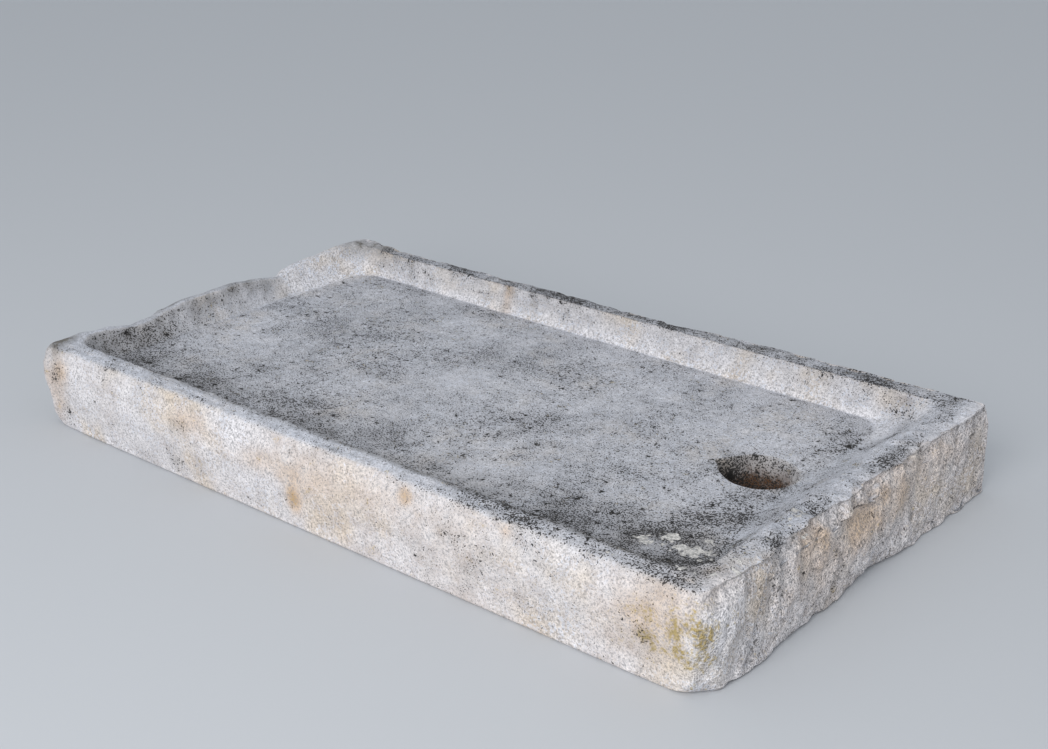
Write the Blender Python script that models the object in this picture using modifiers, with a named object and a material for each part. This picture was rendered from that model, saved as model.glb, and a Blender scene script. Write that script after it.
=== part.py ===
"""Old stone sink: a shallow basin hewn out of one block of limestone, with a round drain hole near one end.

+X runs along the stone to the drain end, +Y to the back, which stands against the wall, and +Z up. The origin
is on the ground, under the middle of the stone. Lengths are in metres.

The stone is lofted through courses: closed lines that run round it, up its outer faces, over the rim, down the
walls of the basin and in over the floor to the drain. The drain and a broken hollow are then cut out of it.
"""

import math
from collections.abc import Callable
from dataclasses import astuple, dataclass

import bmesh
import bpy
from mathutils import Vector, noise

# The block, at its widest lines
STONE_LENGTH = 1.124
STONE_WIDTH = 0.634
RIM_HEIGHT = 0.122
FRONT_WORN_CORNER = 0.014
FRONT_DRAIN_CORNER = 0.014
BACK_WORN_CORNER = 0.024
BACK_DRAIN_CORNER = 0.008

# How far the top edge of each outer face stands in from the face's widest line
WORN_END_BATTER = 0.002
DRAIN_END_BATTER = 0.004
FRONT_BATTER = 0.009
BACK_BATTER = 0.003

# The front's foot stands in towards the worn end, so that face twists a little
FRONT_TWIST = 0.009

# Rounding of the outer top edges, by wear and breakage
WORN_END_ARRIS = 0.019
DRAIN_END_ARRIS = 0.006
FRONT_ARRIS = 0.012
BACK_ARRIS = 0.004

# Rounding of the foot
WORN_END_FOOT = 0.024
DRAIN_END_FOOT = 0.030
SIDE_FOOT = 0.007
FRONT_WORN_FOOT_CORNER = 0.026
FRONT_DRAIN_FOOT_CORNER = 0.040
FRONT_CORNER_LIFT = 0.012
FRONT_CORNER_REACH = 0.100

# The rims, each from the top of its outer face to its inner edge
WORN_END_RIM = 0.028
DRAIN_END_RIM = 0.045
FRONT_RIM = 0.033
BACK_RIM = 0.036
RIM_CROWN = 0.001

# The basin: its depth at the drain, how far its floor rises to the worn end, and its corners at rim and floor
BASIN_DEPTH = 0.045
FLOOR_FALL = 0.009
FRONT_RIM_CORNER = 0.045
BACK_RIM_CORNER = 0.028
FRONT_FLOOR_CORNER = 0.062
BACK_FLOOR_CORNER = 0.045

# How far each wall of the basin runs in from its rim to its foot
WORN_END_RUN = 0.028
DRAIN_END_RUN = 0.073
SIDE_RUN = 0.013

# The drain: a worn, slightly long mouth that narrows to a round outlet in the bed
DRAIN_FROM_END = 0.177
DRAIN_OFF_CENTRE = 0.043
DRAIN_MOUTH_LENGTH = 0.098
DRAIN_MOUTH_WIDTH = 0.088
DRAIN_OUTLET_DIAMETER = 0.070
DRAIN_LIP = 0.003
DRAIN_SEAT_MARGIN = 0.002

# Wear of the lip at the worn end, front to back: two scoops with a hump between, and a step up to a sound corner
LIP_SCOOP = 0.0125
LIP_REACH = 0.120
LIP_PLACE_SHARES = (0.0, 0.10, 0.16, 0.245, 0.295, 0.335, 0.385, 0.54, 0.60, 0.685, 0.71, 0.75, 0.80, 0.90, 1.0)
LIP_SCOOP_SHARES = (0.0, 0.0, 0.25, 0.95, 0.80, 0.35, 0.0, 0.0, 0.35, 1.0, 0.30, 0.12, 0.0, -0.25, -0.25)

# The drain end is split, not dressed: its foot is broken away, most of all a little behind the middle
FOOT_PLACE_SHARES = (0.0, 0.08, 0.20, 0.30, 0.42, 0.47, 0.54, 0.60, 0.66, 0.75, 0.90, 1.0)
FOOT_BREAK_SHARES = (0.60, 0.40, 0.50, 0.58, 0.55, 0.90, 1.0, 0.80, 0.48, 0.36, 0.22, 0.18)
SPLIT_ROUGHNESS = 0.006
SPLIT_GRAIN = 0.050

# The slope at the drain end is steep by the front corner and long and gentle from there to the back
SLOPE_PLACE_SHARES = (0.0, 0.10, 0.48, 1.0)
SLOPE_RUN_SHARES = (0.44, 0.44, 1.0, 1.0)

# The outer edge of the back rim is knocked away over the half towards the worn end
BACK_EDGE_LOSS = 0.011
BACK_PLACE_SHARES = (0.0, 0.04, 0.12, 0.30, 0.45, 0.58, 0.66, 0.72, 1.0)
BACK_LOSS_SHARES = (0.0, 0.60, 1.0, 0.75, 0.80, 1.0, 0.40, 0.10, 0.0)

# Hand-dressed surfaces wander a little from true
DRESSING_ERROR = 0.0012
DRESSING_GRAIN = 0.140

# A flake has broken out of the drain end, from a ledge under the top edge down to nothing
FLAKE_BALL_WIDTH = 0.112
FLAKE_BALL_HEIGHT = 0.140
FLAKE_BALL_THICKNESS = 0.060
FLAKE_DEPTH = 0.007
FLAKE_LEDGE = 0.006
FLAKE_FROM_TOP = 0.026
FLAKE_OFF_CENTRE = 0.016
FLAKE_TILT = math.radians(-18)

# How finely the stone is drawn: segments along each long side, each end and each corner
SIDE_SEGMENTS = 56
END_SEGMENTS = 36
CORNER_SEGMENTS = 8
DRAIN_SEGMENTS = 40
CUT_OVERRUN = 0.010
MERGE_DISTANCE = 0.0001
SMOOTH_ANGLE = math.radians(50)

# Where two sides meet, each one's lengths fade into the other's: how near a side counts as on it, and how fast
MIX_SHARE = 0.1
MIX_POWER = 4

# Courses on the outer faces, as shares of the rim's height, with the share of the batter at each
FACE_LEVEL_SHARES = (0.32, 0.55, 0.78)
FACE_BATTER_SHARES = (0.15, 0.0, 0.35)

# Courses round a rounded edge, as shares of a right angle
FOOT_ANGLE_SHARES = (1.0, 0.67, 0.33, 0.0)
ARRIS_ANGLE_SHARES = (0.0, 0.33, 0.67, 1.0)

# Courses down the basin's wall: shares of its run in, and of its drop from rim to floor
WALL_RUN_SHARES = (0.0, 0.12, 0.25, 0.42, 0.60, 0.79, 1.0)
WALL_DROP_SHARES = (0.0, 0.06, 0.22, 0.52, 0.81, 0.95, 1.0)

# Courses over the floor, as shares of the way from the foot of the walls to the drain
FLOOR_SHARES = (0.10, 0.28, 0.50, 0.72, 0.90)

STONE_COLOUR = (0.56, 0.54, 0.50, 1.0)
STONE_ROUGHNESS = 0.9


@dataclass(frozen=True)
class Sides:
    """One length for each side of the stone."""

    worn: float
    drain: float
    front: float
    back: float

    def plus(self, others, share=1):
        """These lengths, with a share of some others added."""
        return Sides(*(length + share * other for length, other in zip(astuple(self), astuple(others))))


BATTERS = Sides(WORN_END_BATTER, DRAIN_END_BATTER, FRONT_BATTER, BACK_BATTER)
ARRISES = Sides(WORN_END_ARRIS, DRAIN_END_ARRIS, FRONT_ARRIS, BACK_ARRIS)
FEET = Sides(WORN_END_FOOT, DRAIN_END_FOOT, SIDE_FOOT, SIDE_FOOT)
RIMS = Sides(WORN_END_RIM, DRAIN_END_RIM, FRONT_RIM, BACK_RIM)
RUNS = Sides(WORN_END_RUN, DRAIN_END_RUN, SIDE_RUN, SIDE_RUN)

# Corner radii, anticlockwise from the back of the drain end
OUTER_CORNERS = (BACK_DRAIN_CORNER, BACK_WORN_CORNER, FRONT_WORN_CORNER, FRONT_DRAIN_CORNER)
FOOT_CORNERS = (BACK_DRAIN_CORNER, BACK_WORN_CORNER, FRONT_WORN_FOOT_CORNER, FRONT_DRAIN_FOOT_CORNER)
RIM_CORNERS = (BACK_RIM_CORNER, BACK_RIM_CORNER, FRONT_RIM_CORNER, FRONT_RIM_CORNER)
FLOOR_CORNERS = (BACK_FLOOR_CORNER, BACK_FLOOR_CORNER, FRONT_FLOOR_CORNER, FRONT_FLOOR_CORNER)


@dataclass(frozen=True)
class Course:
    """A closed line round the stone: its insets from the widest lines, its corner radii and its height.

    The last five are how much of each kind of wear the course takes, from 0 to 1.
    """

    insets: Sides
    corners: tuple
    height: Callable
    foot: float = 0.0
    twist: float = 0.0
    split: float = 0.0
    broken: float = 0.0
    slope: float = 0.0


def ramp(value, low, high):
    """0 up to low, 1 from high, and an even curve between."""
    share = min(max((value - low) / (high - low), 0), 1)
    return share * share * (3 - 2 * share)


def along(place, places, values):
    """Value at a place in a table, eased from each entry to the next."""
    for low, high, first, last in zip(places, places[1:], values, values[1:]):
        if place <= high:
            return first + (last - first) * ramp(place, low, high)
    return values[-1]


def between(first, last, share):
    """Corner radii a share of the way from one set to another."""
    return tuple(a + (b - a) * share for a, b in zip(first, last))


def length_share(x):
    """Place along the stone, 0 at the worn end and 1 at the drain end."""
    return x / STONE_LENGTH + 1 / 2


def width_share(y):
    """Place across the stone, 0 at the front and 1 at the back."""
    return y / STONE_WIDTH + 1 / 2


def of_nearest_side(x, y, sides):
    """The length that belongs to the side nearest to a place, mixed evenly at the corners."""
    gaps = (STONE_LENGTH / 2 + x, STONE_LENGTH / 2 - x, STONE_WIDTH / 2 + y, STONE_WIDTH / 2 - y)
    weights = [1 / (max(gap, 0) / RIM_HEIGHT + MIX_SHARE) ** MIX_POWER for gap in gaps]
    return sum(weight * length for weight, length in zip(weights, astuple(sides))) / sum(weights)


def at_drain_end(x):
    """1 on the face of the drain end, falling to 0 along the two long faces."""
    return ramp(x, STONE_LENGTH / 2 - DRAIN_END_RIM, STONE_LENGTH / 2)


def drain_place():
    """The middle of the drain, in plan."""
    return Vector((STONE_LENGTH / 2 - DRAIN_FROM_END, DRAIN_OFF_CENTRE))


def seat_radius():
    """Half width of the level seat in the floor that the drain is cut through."""
    return max(DRAIN_MOUTH_LENGTH, DRAIN_MOUTH_WIDTH) / 2 + DRAIN_SEAT_MARGIN


def seat_height():
    """Height of that seat."""
    return RIM_HEIGHT - BASIN_DEPTH


def rim_height(x, y):
    """Height of the rim: level but for hand work, and scooped out along the worn end."""
    scoop = LIP_SCOOP * along(width_share(y), LIP_PLACE_SHARES, LIP_SCOOP_SHARES)
    near_lip = 1 - ramp(x + STONE_LENGTH / 2, LIP_REACH / 2, LIP_REACH)
    wander = noise.noise(Vector((x, y, RIM_HEIGHT)) / DRESSING_GRAIN)
    return RIM_HEIGHT - scoop * near_lip + DRESSING_ERROR * wander


def floor_height(x, y):
    """Height of the floor: it rises evenly with the distance from the drain's seat."""
    away = max((Vector((x, y)) - drain_place()).length - seat_radius(), 0)
    wander = noise.noise(Vector((x, y, 0)) / DRESSING_GRAIN) * min(away / DRESSING_GRAIN, 1)
    return seat_height() + FLOOR_FALL * away / STONE_LENGTH + DRESSING_ERROR * wander


def foot_break(y):
    """How much of the drain end's largest foot is broken away, along that end."""
    return along(width_share(y), FOOT_PLACE_SHARES, FOOT_BREAK_SHARES)


def foot_height(x, y):
    """Height at which the rounded foot runs into the outer face, more at the two front corners."""
    from_corner = Vector((STONE_LENGTH / 2 - abs(x), STONE_WIDTH / 2 + y)).length
    lift = FRONT_CORNER_LIFT * (1 - ramp(from_corner, 0, FRONT_CORNER_REACH))
    return of_nearest_side(x, y, FEET) * (1 + at_drain_end(x) * (foot_break(y) - 1)) + lift


def corner_arc(x, y, radius, quarter):
    """Points of a quarter circle round x, y, anticlockwise, both ends among them."""
    angles = [math.pi / 2 * (quarter + step / CORNER_SEGMENTS) for step in range(CORNER_SEGMENTS + 1)]
    return [Vector((x + radius * math.cos(angle), y + radius * math.sin(angle))) for angle in angles]


def outline(course):
    """Points of a course in plan, anticlockwise: a rectangle with round corners."""
    insets, radii = course.insets, course.corners
    left, right = insets.worn - STONE_LENGTH / 2, STONE_LENGTH / 2 - insets.drain
    front, back = insets.front - STONE_WIDTH / 2, STONE_WIDTH / 2 - insets.back
    arcs = [
        corner_arc(right - radii[0], back - radii[0], radii[0], 0),
        corner_arc(left + radii[1], back - radii[1], radii[1], 1),
        corner_arc(left + radii[2], front + radii[2], radii[2], 2),
        corner_arc(right - radii[3], front + radii[3], radii[3], 3),
    ]
    points = []
    for index, arc in enumerate(arcs):
        start = arcs[(index + 1) % len(arcs)][0]
        segments = END_SEGMENTS if index % 2 else SIDE_SEGMENTS
        points += arc
        points += [arc[-1].lerp(start, step / segments) for step in range(1, segments)]
    return points


def worn_place(x, y, course):
    """Where splitting, breakage and carving by eye have left a point of a course, in plan."""
    inwards = 0
    near_end = at_drain_end(x + course.insets.drain)
    if course.foot:
        inwards += course.foot * DRAIN_END_FOOT * (foot_break(y) - 1) * near_end
    if course.split:
        lump = noise.noise(Vector((STONE_LENGTH, y, course.height(x, y))) / SPLIT_GRAIN)
        inwards += course.split * SPLIT_ROUGHNESS * max(1 / 2 - lump, 0) * near_end
    if course.slope:
        steeper = 1 - along(width_share(y), SLOPE_PLACE_SHARES, SLOPE_RUN_SHARES)
        near_slope = ramp(x, 0, STONE_LENGTH / 2 - DRAIN_END_RIM - DRAIN_END_RUN)
        inwards -= course.slope * DRAIN_END_RUN * steeper * near_slope
    backwards = 0
    if course.twist:
        near_front = 1 - ramp(y, 2 * FRONT_RIM - STONE_WIDTH / 2, 3 * FRONT_RIM - STONE_WIDTH / 2)
        backwards += course.twist * FRONT_TWIST * (1 - length_share(x)) * near_front
    if course.broken:
        loss = BACK_EDGE_LOSS * along(length_share(x), BACK_PLACE_SHARES, BACK_LOSS_SHARES)
        backwards -= course.broken * loss * ramp(y, STONE_WIDTH / 2 - 2 * BACK_RIM, STONE_WIDTH / 2 - BACK_RIM)
    return x - inwards, y + backwards


def points_of(course):
    """Points of a course in space."""
    placed = [worn_place(point.x, point.y, course) for point in outline(course)]
    return [Vector((x, y, course.height(x, y))) for x, y in placed]


def foot_courses():
    """The rounded foot, from the edge of the flat bed up to the outer faces."""
    courses = []
    for share in FOOT_ANGLE_SHARES:
        inset = 1 - math.cos(math.pi / 2 * share)
        rise = 1 - math.sin(math.pi / 2 * share)
        insets = BATTERS.plus(BATTERS, FACE_BATTER_SHARES[0] - 1).plus(FEET, inset)
        courses.append(
            Course(
                insets,
                between(OUTER_CORNERS, FOOT_CORNERS, (1 + share) / 2),
                lambda x, y, rise=rise: rise * foot_height(x, y),
                foot=inset,
                twist=1,
                split=1 - share,
            )
        )
    return courses


def face_courses():
    """The outer faces, with a faint belly about the middle of their height."""
    none = BATTERS.plus(BATTERS, -1)
    return [
        Course(
            none.plus(BATTERS, batter),
            OUTER_CORNERS,
            lambda x, y, level=level: level * rim_height(x, y),
            twist=1 - level,
            split=1,
        )
        for level, batter in zip(FACE_LEVEL_SHARES, FACE_BATTER_SHARES)
    ]


def arris_courses():
    """The rounded outer top edge, from the outer faces to the top of the rim."""
    courses = []
    for share in ARRIS_ANGLE_SHARES:
        inset = 1 - math.cos(math.pi / 2 * share)
        drop = 1 - math.sin(math.pi / 2 * share)
        courses.append(
            Course(
                BATTERS.plus(ARRISES, inset),
                OUTER_CORNERS,
                lambda x, y, drop=drop: rim_height(x, y) - drop * of_nearest_side(x, y, ARRISES),
                split=1 - share,
                broken=1,
            )
        )
    return courses


def crown_course():
    """The middle of the rim, a little higher than its two edges."""
    half_way = BATTERS.plus(ARRISES, 1 / 2).plus(RIMS, 1 / 2)
    return Course(
        half_way,
        between(OUTER_CORNERS, RIM_CORNERS, 1 / 2),
        lambda x, y: rim_height(x, y) + RIM_CROWN,
        broken=1 / 2,
    )


def wall_courses():
    """The walls of the basin, from the rim's inner edge to the floor."""
    inner_edge = BATTERS.plus(RIMS)
    return [
        Course(
            inner_edge.plus(RUNS, run),
            between(RIM_CORNERS, FLOOR_CORNERS, run),
            lambda x, y, drop=drop: rim_height(x, y) + drop * (floor_height(x, y) - rim_height(x, y)),
            slope=run,
        )
        for run, drop in zip(WALL_RUN_SHARES, WALL_DROP_SHARES)
    ]


def floor_rings(wall_foot):
    """Rings of points over the floor, from the foot of the walls in to the round seat of the drain."""
    centre = drain_place()
    rings = []
    for share in FLOOR_SHARES:
        ring = []
        for point in wall_foot:
            seat_edge = centre + (point.xy - centre).normalized() * seat_radius()
            x, y = point.xy.lerp(seat_edge, share)
            ring.append(Vector((x, y, floor_height(x, y))))
        rings.append(ring)
    seat = [centre + (point.xy - centre).normalized() * seat_radius() for point in wall_foot]
    rings.append([Vector((x, y, seat_height())) for x, y in seat])
    return rings


def loft(bm, rings):
    """Faces from each ring to the next, and one flat face to close each end of the loft."""
    loops = [[bm.verts.new(point) for point in ring] for ring in rings]
    for lower, upper in zip(loops, loops[1:]):
        for j in range(len(lower)):
            bm.faces.new((lower[j - 1], lower[j], upper[j], upper[j - 1]))
    bm.faces.new(reversed(loops[0]))
    bm.faces.new(loops[-1])


def solid(name, bm):
    """An object made from a finished bmesh."""
    mesh = bpy.data.meshes.new(name)
    bm.to_mesh(mesh)
    bm.free()
    return bpy.data.objects.new(name, mesh)


def carved_block():
    """The stone before anything is cut out of it."""
    courses = foot_courses() + face_courses() + arris_courses() + [crown_course()] + wall_courses()
    rings = [points_of(course) for course in courses]
    rings += floor_rings(rings[-1])
    bm = bmesh.new()
    loft(bm, rings)
    bmesh.ops.recalc_face_normals(bm, faces=bm.faces)
    return solid("stone_basin", bm)


def drain_cutter():
    """The drain as a turned solid: an eased lip, then a bore that narrows to the outlet in the bed."""
    mouth = DRAIN_MOUTH_WIDTH / 2
    outlet = DRAIN_OUTLET_DIAMETER / 2
    top = seat_height() + CUT_OVERRUN
    profile = [(0, top), (mouth + DRAIN_LIP, top)]
    for share in ARRIS_ANGLE_SHARES:
        angle = math.pi / 2 * share
        profile.append((mouth + DRAIN_LIP * (1 - math.sin(angle)), seat_height() - DRAIN_LIP * (1 - math.cos(angle))))
    profile += [(outlet, 0), (outlet, -CUT_OVERRUN), (0, -CUT_OVERRUN)]
    mesh = bpy.data.meshes.new("drain_cutter")
    edges = [(index, index + 1) for index in range(len(profile) - 1)]
    mesh.from_pydata([(radius, 0, height) for radius, height in profile], edges, [])
    cutter = bpy.data.objects.new("drain_cutter", mesh)
    turn = cutter.modifiers.new("turn", "SCREW")
    turn.steps = DRAIN_SEGMENTS
    turn.render_steps = DRAIN_SEGMENTS
    turn.use_merge_vertices = True
    turn.merge_threshold = MERGE_DISTANCE
    cutter.location.xy = drain_place()
    cutter.scale.x = DRAIN_MOUTH_LENGTH / DRAIN_MOUTH_WIDTH
    return cutter


def flake_cutter():
    """The lost flake: a long ball with its top cut flat as a ledge, tilted, and let into the drain end."""
    bm = bmesh.new()
    bmesh.ops.create_icosphere(bm, subdivisions=3, radius=1 / 2)
    bmesh.ops.scale(bm, vec=(FLAKE_BALL_THICKNESS, FLAKE_BALL_WIDTH, FLAKE_BALL_HEIGHT), verts=bm.verts)
    for vertex in bm.verts:
        vertex.co.z = min(vertex.co.z, FLAKE_LEDGE)
    cutter = solid("flake_cutter", bm)
    face = STONE_LENGTH / 2 - DRAIN_END_BATTER
    bite = face + FLAKE_BALL_THICKNESS / 2 - FLAKE_DEPTH
    cutter.location = (bite, FLAKE_OFF_CENTRE, RIM_HEIGHT - FLAKE_FROM_TOP - FLAKE_LEDGE)
    cutter.rotation_euler.x = FLAKE_TILT
    return cutter


def cut_with(stone, cutter):
    """Takes a cutter's shape out of the stone."""
    cut = stone.modifiers.new(cutter.name, "BOOLEAN")
    cut.operation = "DIFFERENCE"
    cut.solver = "EXACT"
    cut.object = cutter


def keep_cuts(stone):
    """Makes the cut shape the stone's own mesh, shaded smooth between its sharp edges."""
    graph = bpy.context.evaluated_depsgraph_get()
    mesh = bpy.data.meshes.new_from_object(stone.evaluated_get(graph))
    stone.modifiers.clear()
    stone.data = mesh
    mesh.shade_smooth()
    mesh.set_sharp_from_angle(angle=SMOOTH_ANGLE)
    shading = stone.modifiers.new("shading", "WEIGHTED_NORMAL")
    shading.keep_sharp = True


def limestone():
    """Weathered pale limestone, dull and rough."""
    material = bpy.data.materials.new("limestone")
    material.use_nodes = True
    shader = material.node_tree.nodes["Principled BSDF"]
    shader.inputs["Base Color"].default_value = STONE_COLOUR
    shader.inputs["Roughness"].default_value = STONE_ROUGHNESS
    shader.inputs["Metallic"].default_value = 0
    return material


def clear_scene():
    """Removes whatever the scene holds."""
    for thing in list(bpy.data.objects):
        bpy.data.objects.remove(thing, do_unlink=True)


def collection(name):
    """A new collection in the scene."""
    made = bpy.data.collections.new(name)
    bpy.context.scene.collection.children.link(made)
    return made


def build():
    """Makes the stone and cuts it."""
    clear_scene()
    parts = collection("stone_sink")
    cutters = collection("cutters")
    stone = carved_block()
    stone.data.materials.append(limestone())
    parts.objects.link(stone)
    for cutter in (drain_cutter(), flake_cutter()):
        cutters.objects.link(cutter)
        cutter.hide_render = True
        cutter.display_type = "WIRE"
        cut_with(stone, cutter)
    keep_cuts(stone)


build()
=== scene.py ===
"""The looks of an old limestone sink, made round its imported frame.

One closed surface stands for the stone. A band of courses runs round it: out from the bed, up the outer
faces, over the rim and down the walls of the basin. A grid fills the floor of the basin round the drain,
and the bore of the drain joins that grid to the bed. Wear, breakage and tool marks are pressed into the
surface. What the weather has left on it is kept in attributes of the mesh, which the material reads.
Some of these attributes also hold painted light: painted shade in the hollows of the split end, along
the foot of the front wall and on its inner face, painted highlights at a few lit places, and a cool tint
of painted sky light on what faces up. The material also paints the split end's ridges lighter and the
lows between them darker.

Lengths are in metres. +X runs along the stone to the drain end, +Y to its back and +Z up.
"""

import itertools
import logging
import math
from collections.abc import Sequence
from dataclasses import astuple, dataclass
from enum import Enum, IntEnum, auto

import bpy
import numpy as np
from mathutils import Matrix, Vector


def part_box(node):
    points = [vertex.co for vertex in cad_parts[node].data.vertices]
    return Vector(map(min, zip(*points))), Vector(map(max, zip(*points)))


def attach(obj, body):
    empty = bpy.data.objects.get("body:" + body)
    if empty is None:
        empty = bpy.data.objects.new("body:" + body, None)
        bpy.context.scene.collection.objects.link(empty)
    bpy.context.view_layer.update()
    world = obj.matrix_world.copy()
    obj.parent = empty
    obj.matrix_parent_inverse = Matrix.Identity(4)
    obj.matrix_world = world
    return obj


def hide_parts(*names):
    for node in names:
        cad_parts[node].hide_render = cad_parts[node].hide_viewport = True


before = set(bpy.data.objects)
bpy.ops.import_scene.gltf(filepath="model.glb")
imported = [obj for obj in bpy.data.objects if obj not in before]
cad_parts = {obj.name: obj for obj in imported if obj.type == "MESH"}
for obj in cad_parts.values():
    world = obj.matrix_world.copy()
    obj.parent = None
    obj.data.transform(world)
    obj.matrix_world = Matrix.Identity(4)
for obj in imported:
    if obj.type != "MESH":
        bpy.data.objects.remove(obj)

LOG = logging.getLogger("stone_sink")
FRAME_NODE = "stone_basin"
BODY = "root"

Span = tuple[float, float]
Triple = tuple[float, float, float]
Row = tuple[float, ...]
Size = float | Triple | np.ndarray

# The photograph's frame, in pixels, and its camera
PICTURE_WIDTH = 1048
FOCAL_PIXELS = 1621.5
SENSOR_WIDTH_MM = 36.0
CAMERA_PLACE = (1.30221, -1.48259, 0.92641)
CAMERA_TURN = (1.1814, 0.0071, 0.6952)

# Random numbers for whole-number cells, after the usual integer hashes
HASH_PRIMES = np.array((0x9E3779B185EBCA87, 0xC2B2AE3D27D4EB4F, 0x165667B19E3779F9), dtype=np.uint64)
HASH_SALT = np.uint64(0x27D4EB2F165667C5)
HASH_FACTOR = np.uint64(0xFF51AFD7ED558CCD)
HASH_SHIFT = np.uint64(33)
HASH_KEEP = np.uint64(11)
HASH_STEPS = float(1 << 53)

# Places in the profile before its first section, and past its last
BEFORE_ALL = (-2, -1)
PAST_ALL = (8, 9)

# What brings the sum of eight weighted slopes to about -1 to 1
GRAIN_SCALE = 1.6

# Slots of the Mix node for colours
MIX_FACTOR, MIX_A, MIX_B, MIX_RESULT = 0, 6, 7, 2


class WeatherAndPaintedLight(Enum):
    """What the weather leaves on the stone, and the painted light and shade laid in with it, by the name of
    its attribute.
    """

    PATINA_AND_PAINTED_LIGHT = "patina_and_painted_light"
    GRIME_AND_PAINTED_SHADE = "grime_and_painted_shade"
    CRUST_AND_PAINTED_LIGHT = "crust_and_painted_light"
    OCHRE = "ochre"
    YELLOW = "yellow"
    PALE = "pale"
    RUST = "rust"
    SPLIT = "split"


class Section(IntEnum):
    """The sections of the profile, in the order in which the surface runs through them."""

    FOOT = 0
    FACE = 1
    ARRIS = 2
    RIM = 3
    WALL = 4
    FLOOR = 5
    BORE = 6


class Region(Enum):
    """Places on the stone where the weather leaves more or less than elsewhere, where shade and highlights
    are painted, and its uneven patches.
    """

    OUTSIDE = auto()
    END = auto()
    PAINTED_SHADE_IN_HOLLOWS = auto()
    CHIPPED = auto()
    RIM = auto()
    INNER_RIM = auto()
    WALLS = auto()
    DIRT_AND_PAINTED_SHADE_ON_WALLS = auto()
    PAINTED_HIGHLIGHT_BAND = auto()
    CREVICE_PAINTED_SHADOW_AND_DIRT = auto()
    PATCHY_CREVICE_PAINTED_SHADOW_AND_DIRT = auto()
    FLOOR = auto()
    BORE = auto()
    SUNK = auto()
    PATCH = auto()
    INNER_PATCH = auto()
    BROAD = auto()


def linear(colour: str) -> tuple[float, float, float, float]:
    """Turns an sRGB colour into the linear one that shaders take.

    Args:
        colour: Six hex digits after a hash sign.

    Returns:
        Linear red, green and blue, and an alpha of one.
    """
    parts = (int(colour[start : start + 2], 16) / 255 for start in (1, 3, 5))
    red, green, blue = (
        part / 12.92 if part <= 0.04045 else ((part + 0.055) / 1.055) ** 2.4 for part in parts
    )
    return red, green, blue, 1.0


def add(
    tree: bpy.types.NodeTree, kind: str, inputs: dict | None = None, **settings: object
) -> bpy.types.Node:
    """Adds a node with its settings and links.

    Args:
        tree: The nodes it joins.
        kind: Blender's name for the node.
        inputs: For each input's name or number, a socket to link from or a value.
        **settings: The node's properties.

    Returns:
        The node.
    """
    made = tree.nodes.new(kind)
    for name, value in settings.items():
        setattr(made, name, value)
    for key, value in (inputs or {}).items():
        if isinstance(value, bpy.types.NodeSocket):
            tree.links.new(value, made.inputs[key])
        else:
            made.inputs[key].default_value = value
    return made


def ramp(value: np.ndarray | float, low: np.ndarray | float, high: np.ndarray | float) -> np.ndarray:
    """Climbs from 0 at low to 1 at high along an even curve: three squares less two cubes of the share.

    Args:
        value: What climbs.
        low: Where the curve leaves 0.
        high: Where it reaches 1.

    Returns:
        The height of the curve at each value.
    """
    share = np.clip((value - low) / (high - low), 0, 1)
    return share * share * (3 - 2 * share)


def along(place: np.ndarray, places: Sequence[float], values: Sequence[float]) -> np.ndarray:
    """Reads a table, easing from each entry to the next.

    Args:
        place: Where to read it.
        places: The entries' places, rising.
        values: The entries' values.

    Returns:
        The value at each place: the entry before it, and the eased share of the step to the one after.
    """
    stops, heights = np.asarray(places), np.asarray(values)
    entry = np.clip(np.searchsorted(stops, place, side="right") - 1, 0, len(stops) - 2)
    step = heights[entry + 1] - heights[entry]
    return heights[entry] + step * ramp(place, stops[entry], stops[entry + 1])


def hashed(cells: np.ndarray, salt: int) -> np.ndarray:
    """Gives each whole-number cell its own random numbers: primes times its places, stirred by shifts.

    Args:
        cells: Cells, three whole numbers each.
        salt: Which of many random sets to use.

    Returns:
        Three numbers from -1 to 1 for each cell.
    """
    mixed = (cells.astype(np.int64).astype(np.uint64) * HASH_PRIMES).sum(axis=-1, keepdims=True)
    mixed = mixed + HASH_SALT * (np.arange(1, 4, dtype=np.uint64) + np.uint64(4 * salt))
    for _ in range(3):
        mixed = (mixed ^ (mixed >> HASH_SHIFT)) * HASH_FACTOR
    return (mixed >> HASH_KEEP).astype(float) / HASH_STEPS * 2 - 1


def grain(points: np.ndarray, size: Size, salt: int) -> np.ndarray:
    """Makes a smooth random field over space.

    Each corner of the cell that a point lies in has a random slope. The field is the sum over the eight
    corners of that slope times the way from the corner to the point, weighted by the point's place in the
    cell, eased by ten cubes less fifteen fourth powers plus six fifth powers.

    Args:
        points: Points in metres.
        size: Width of a cell, or its three sides.
        salt: Which random field to use.

    Returns:
        A number for each point, mostly from -1 to 1.
    """
    scaled = points / np.asarray(size)
    low = np.floor(scaled)
    inside = scaled - low
    eased = inside**3 * (inside * (inside * 6 - 15) + 10)
    total = np.zeros(points.shape[:-1])
    for corner in itertools.product((0, 1), repeat=3):
        weight = np.where(corner, eased, 1 - eased).prod(axis=-1)
        total += weight * (hashed(low + corner, salt) * (inside - corner)).sum(axis=-1)
    return total * GRAIN_SCALE


def layered(points: np.ndarray, size: Size, salt: int, layers: int) -> np.ndarray:
    """Adds finer and fainter layers of grain, each half as large and half as strong as the last.

    Args:
        points: Points in metres.
        size: Width of a cell of the coarsest layer, or its three sides.
        salt: Which random field to use.
        layers: How many layers to add.

    Returns:
        A number for each point, mostly from -1 to 1.
    """
    return sum(grain(points, np.asarray(size) / 2**layer, salt + layer) / 2**layer for layer in range(layers))


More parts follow.
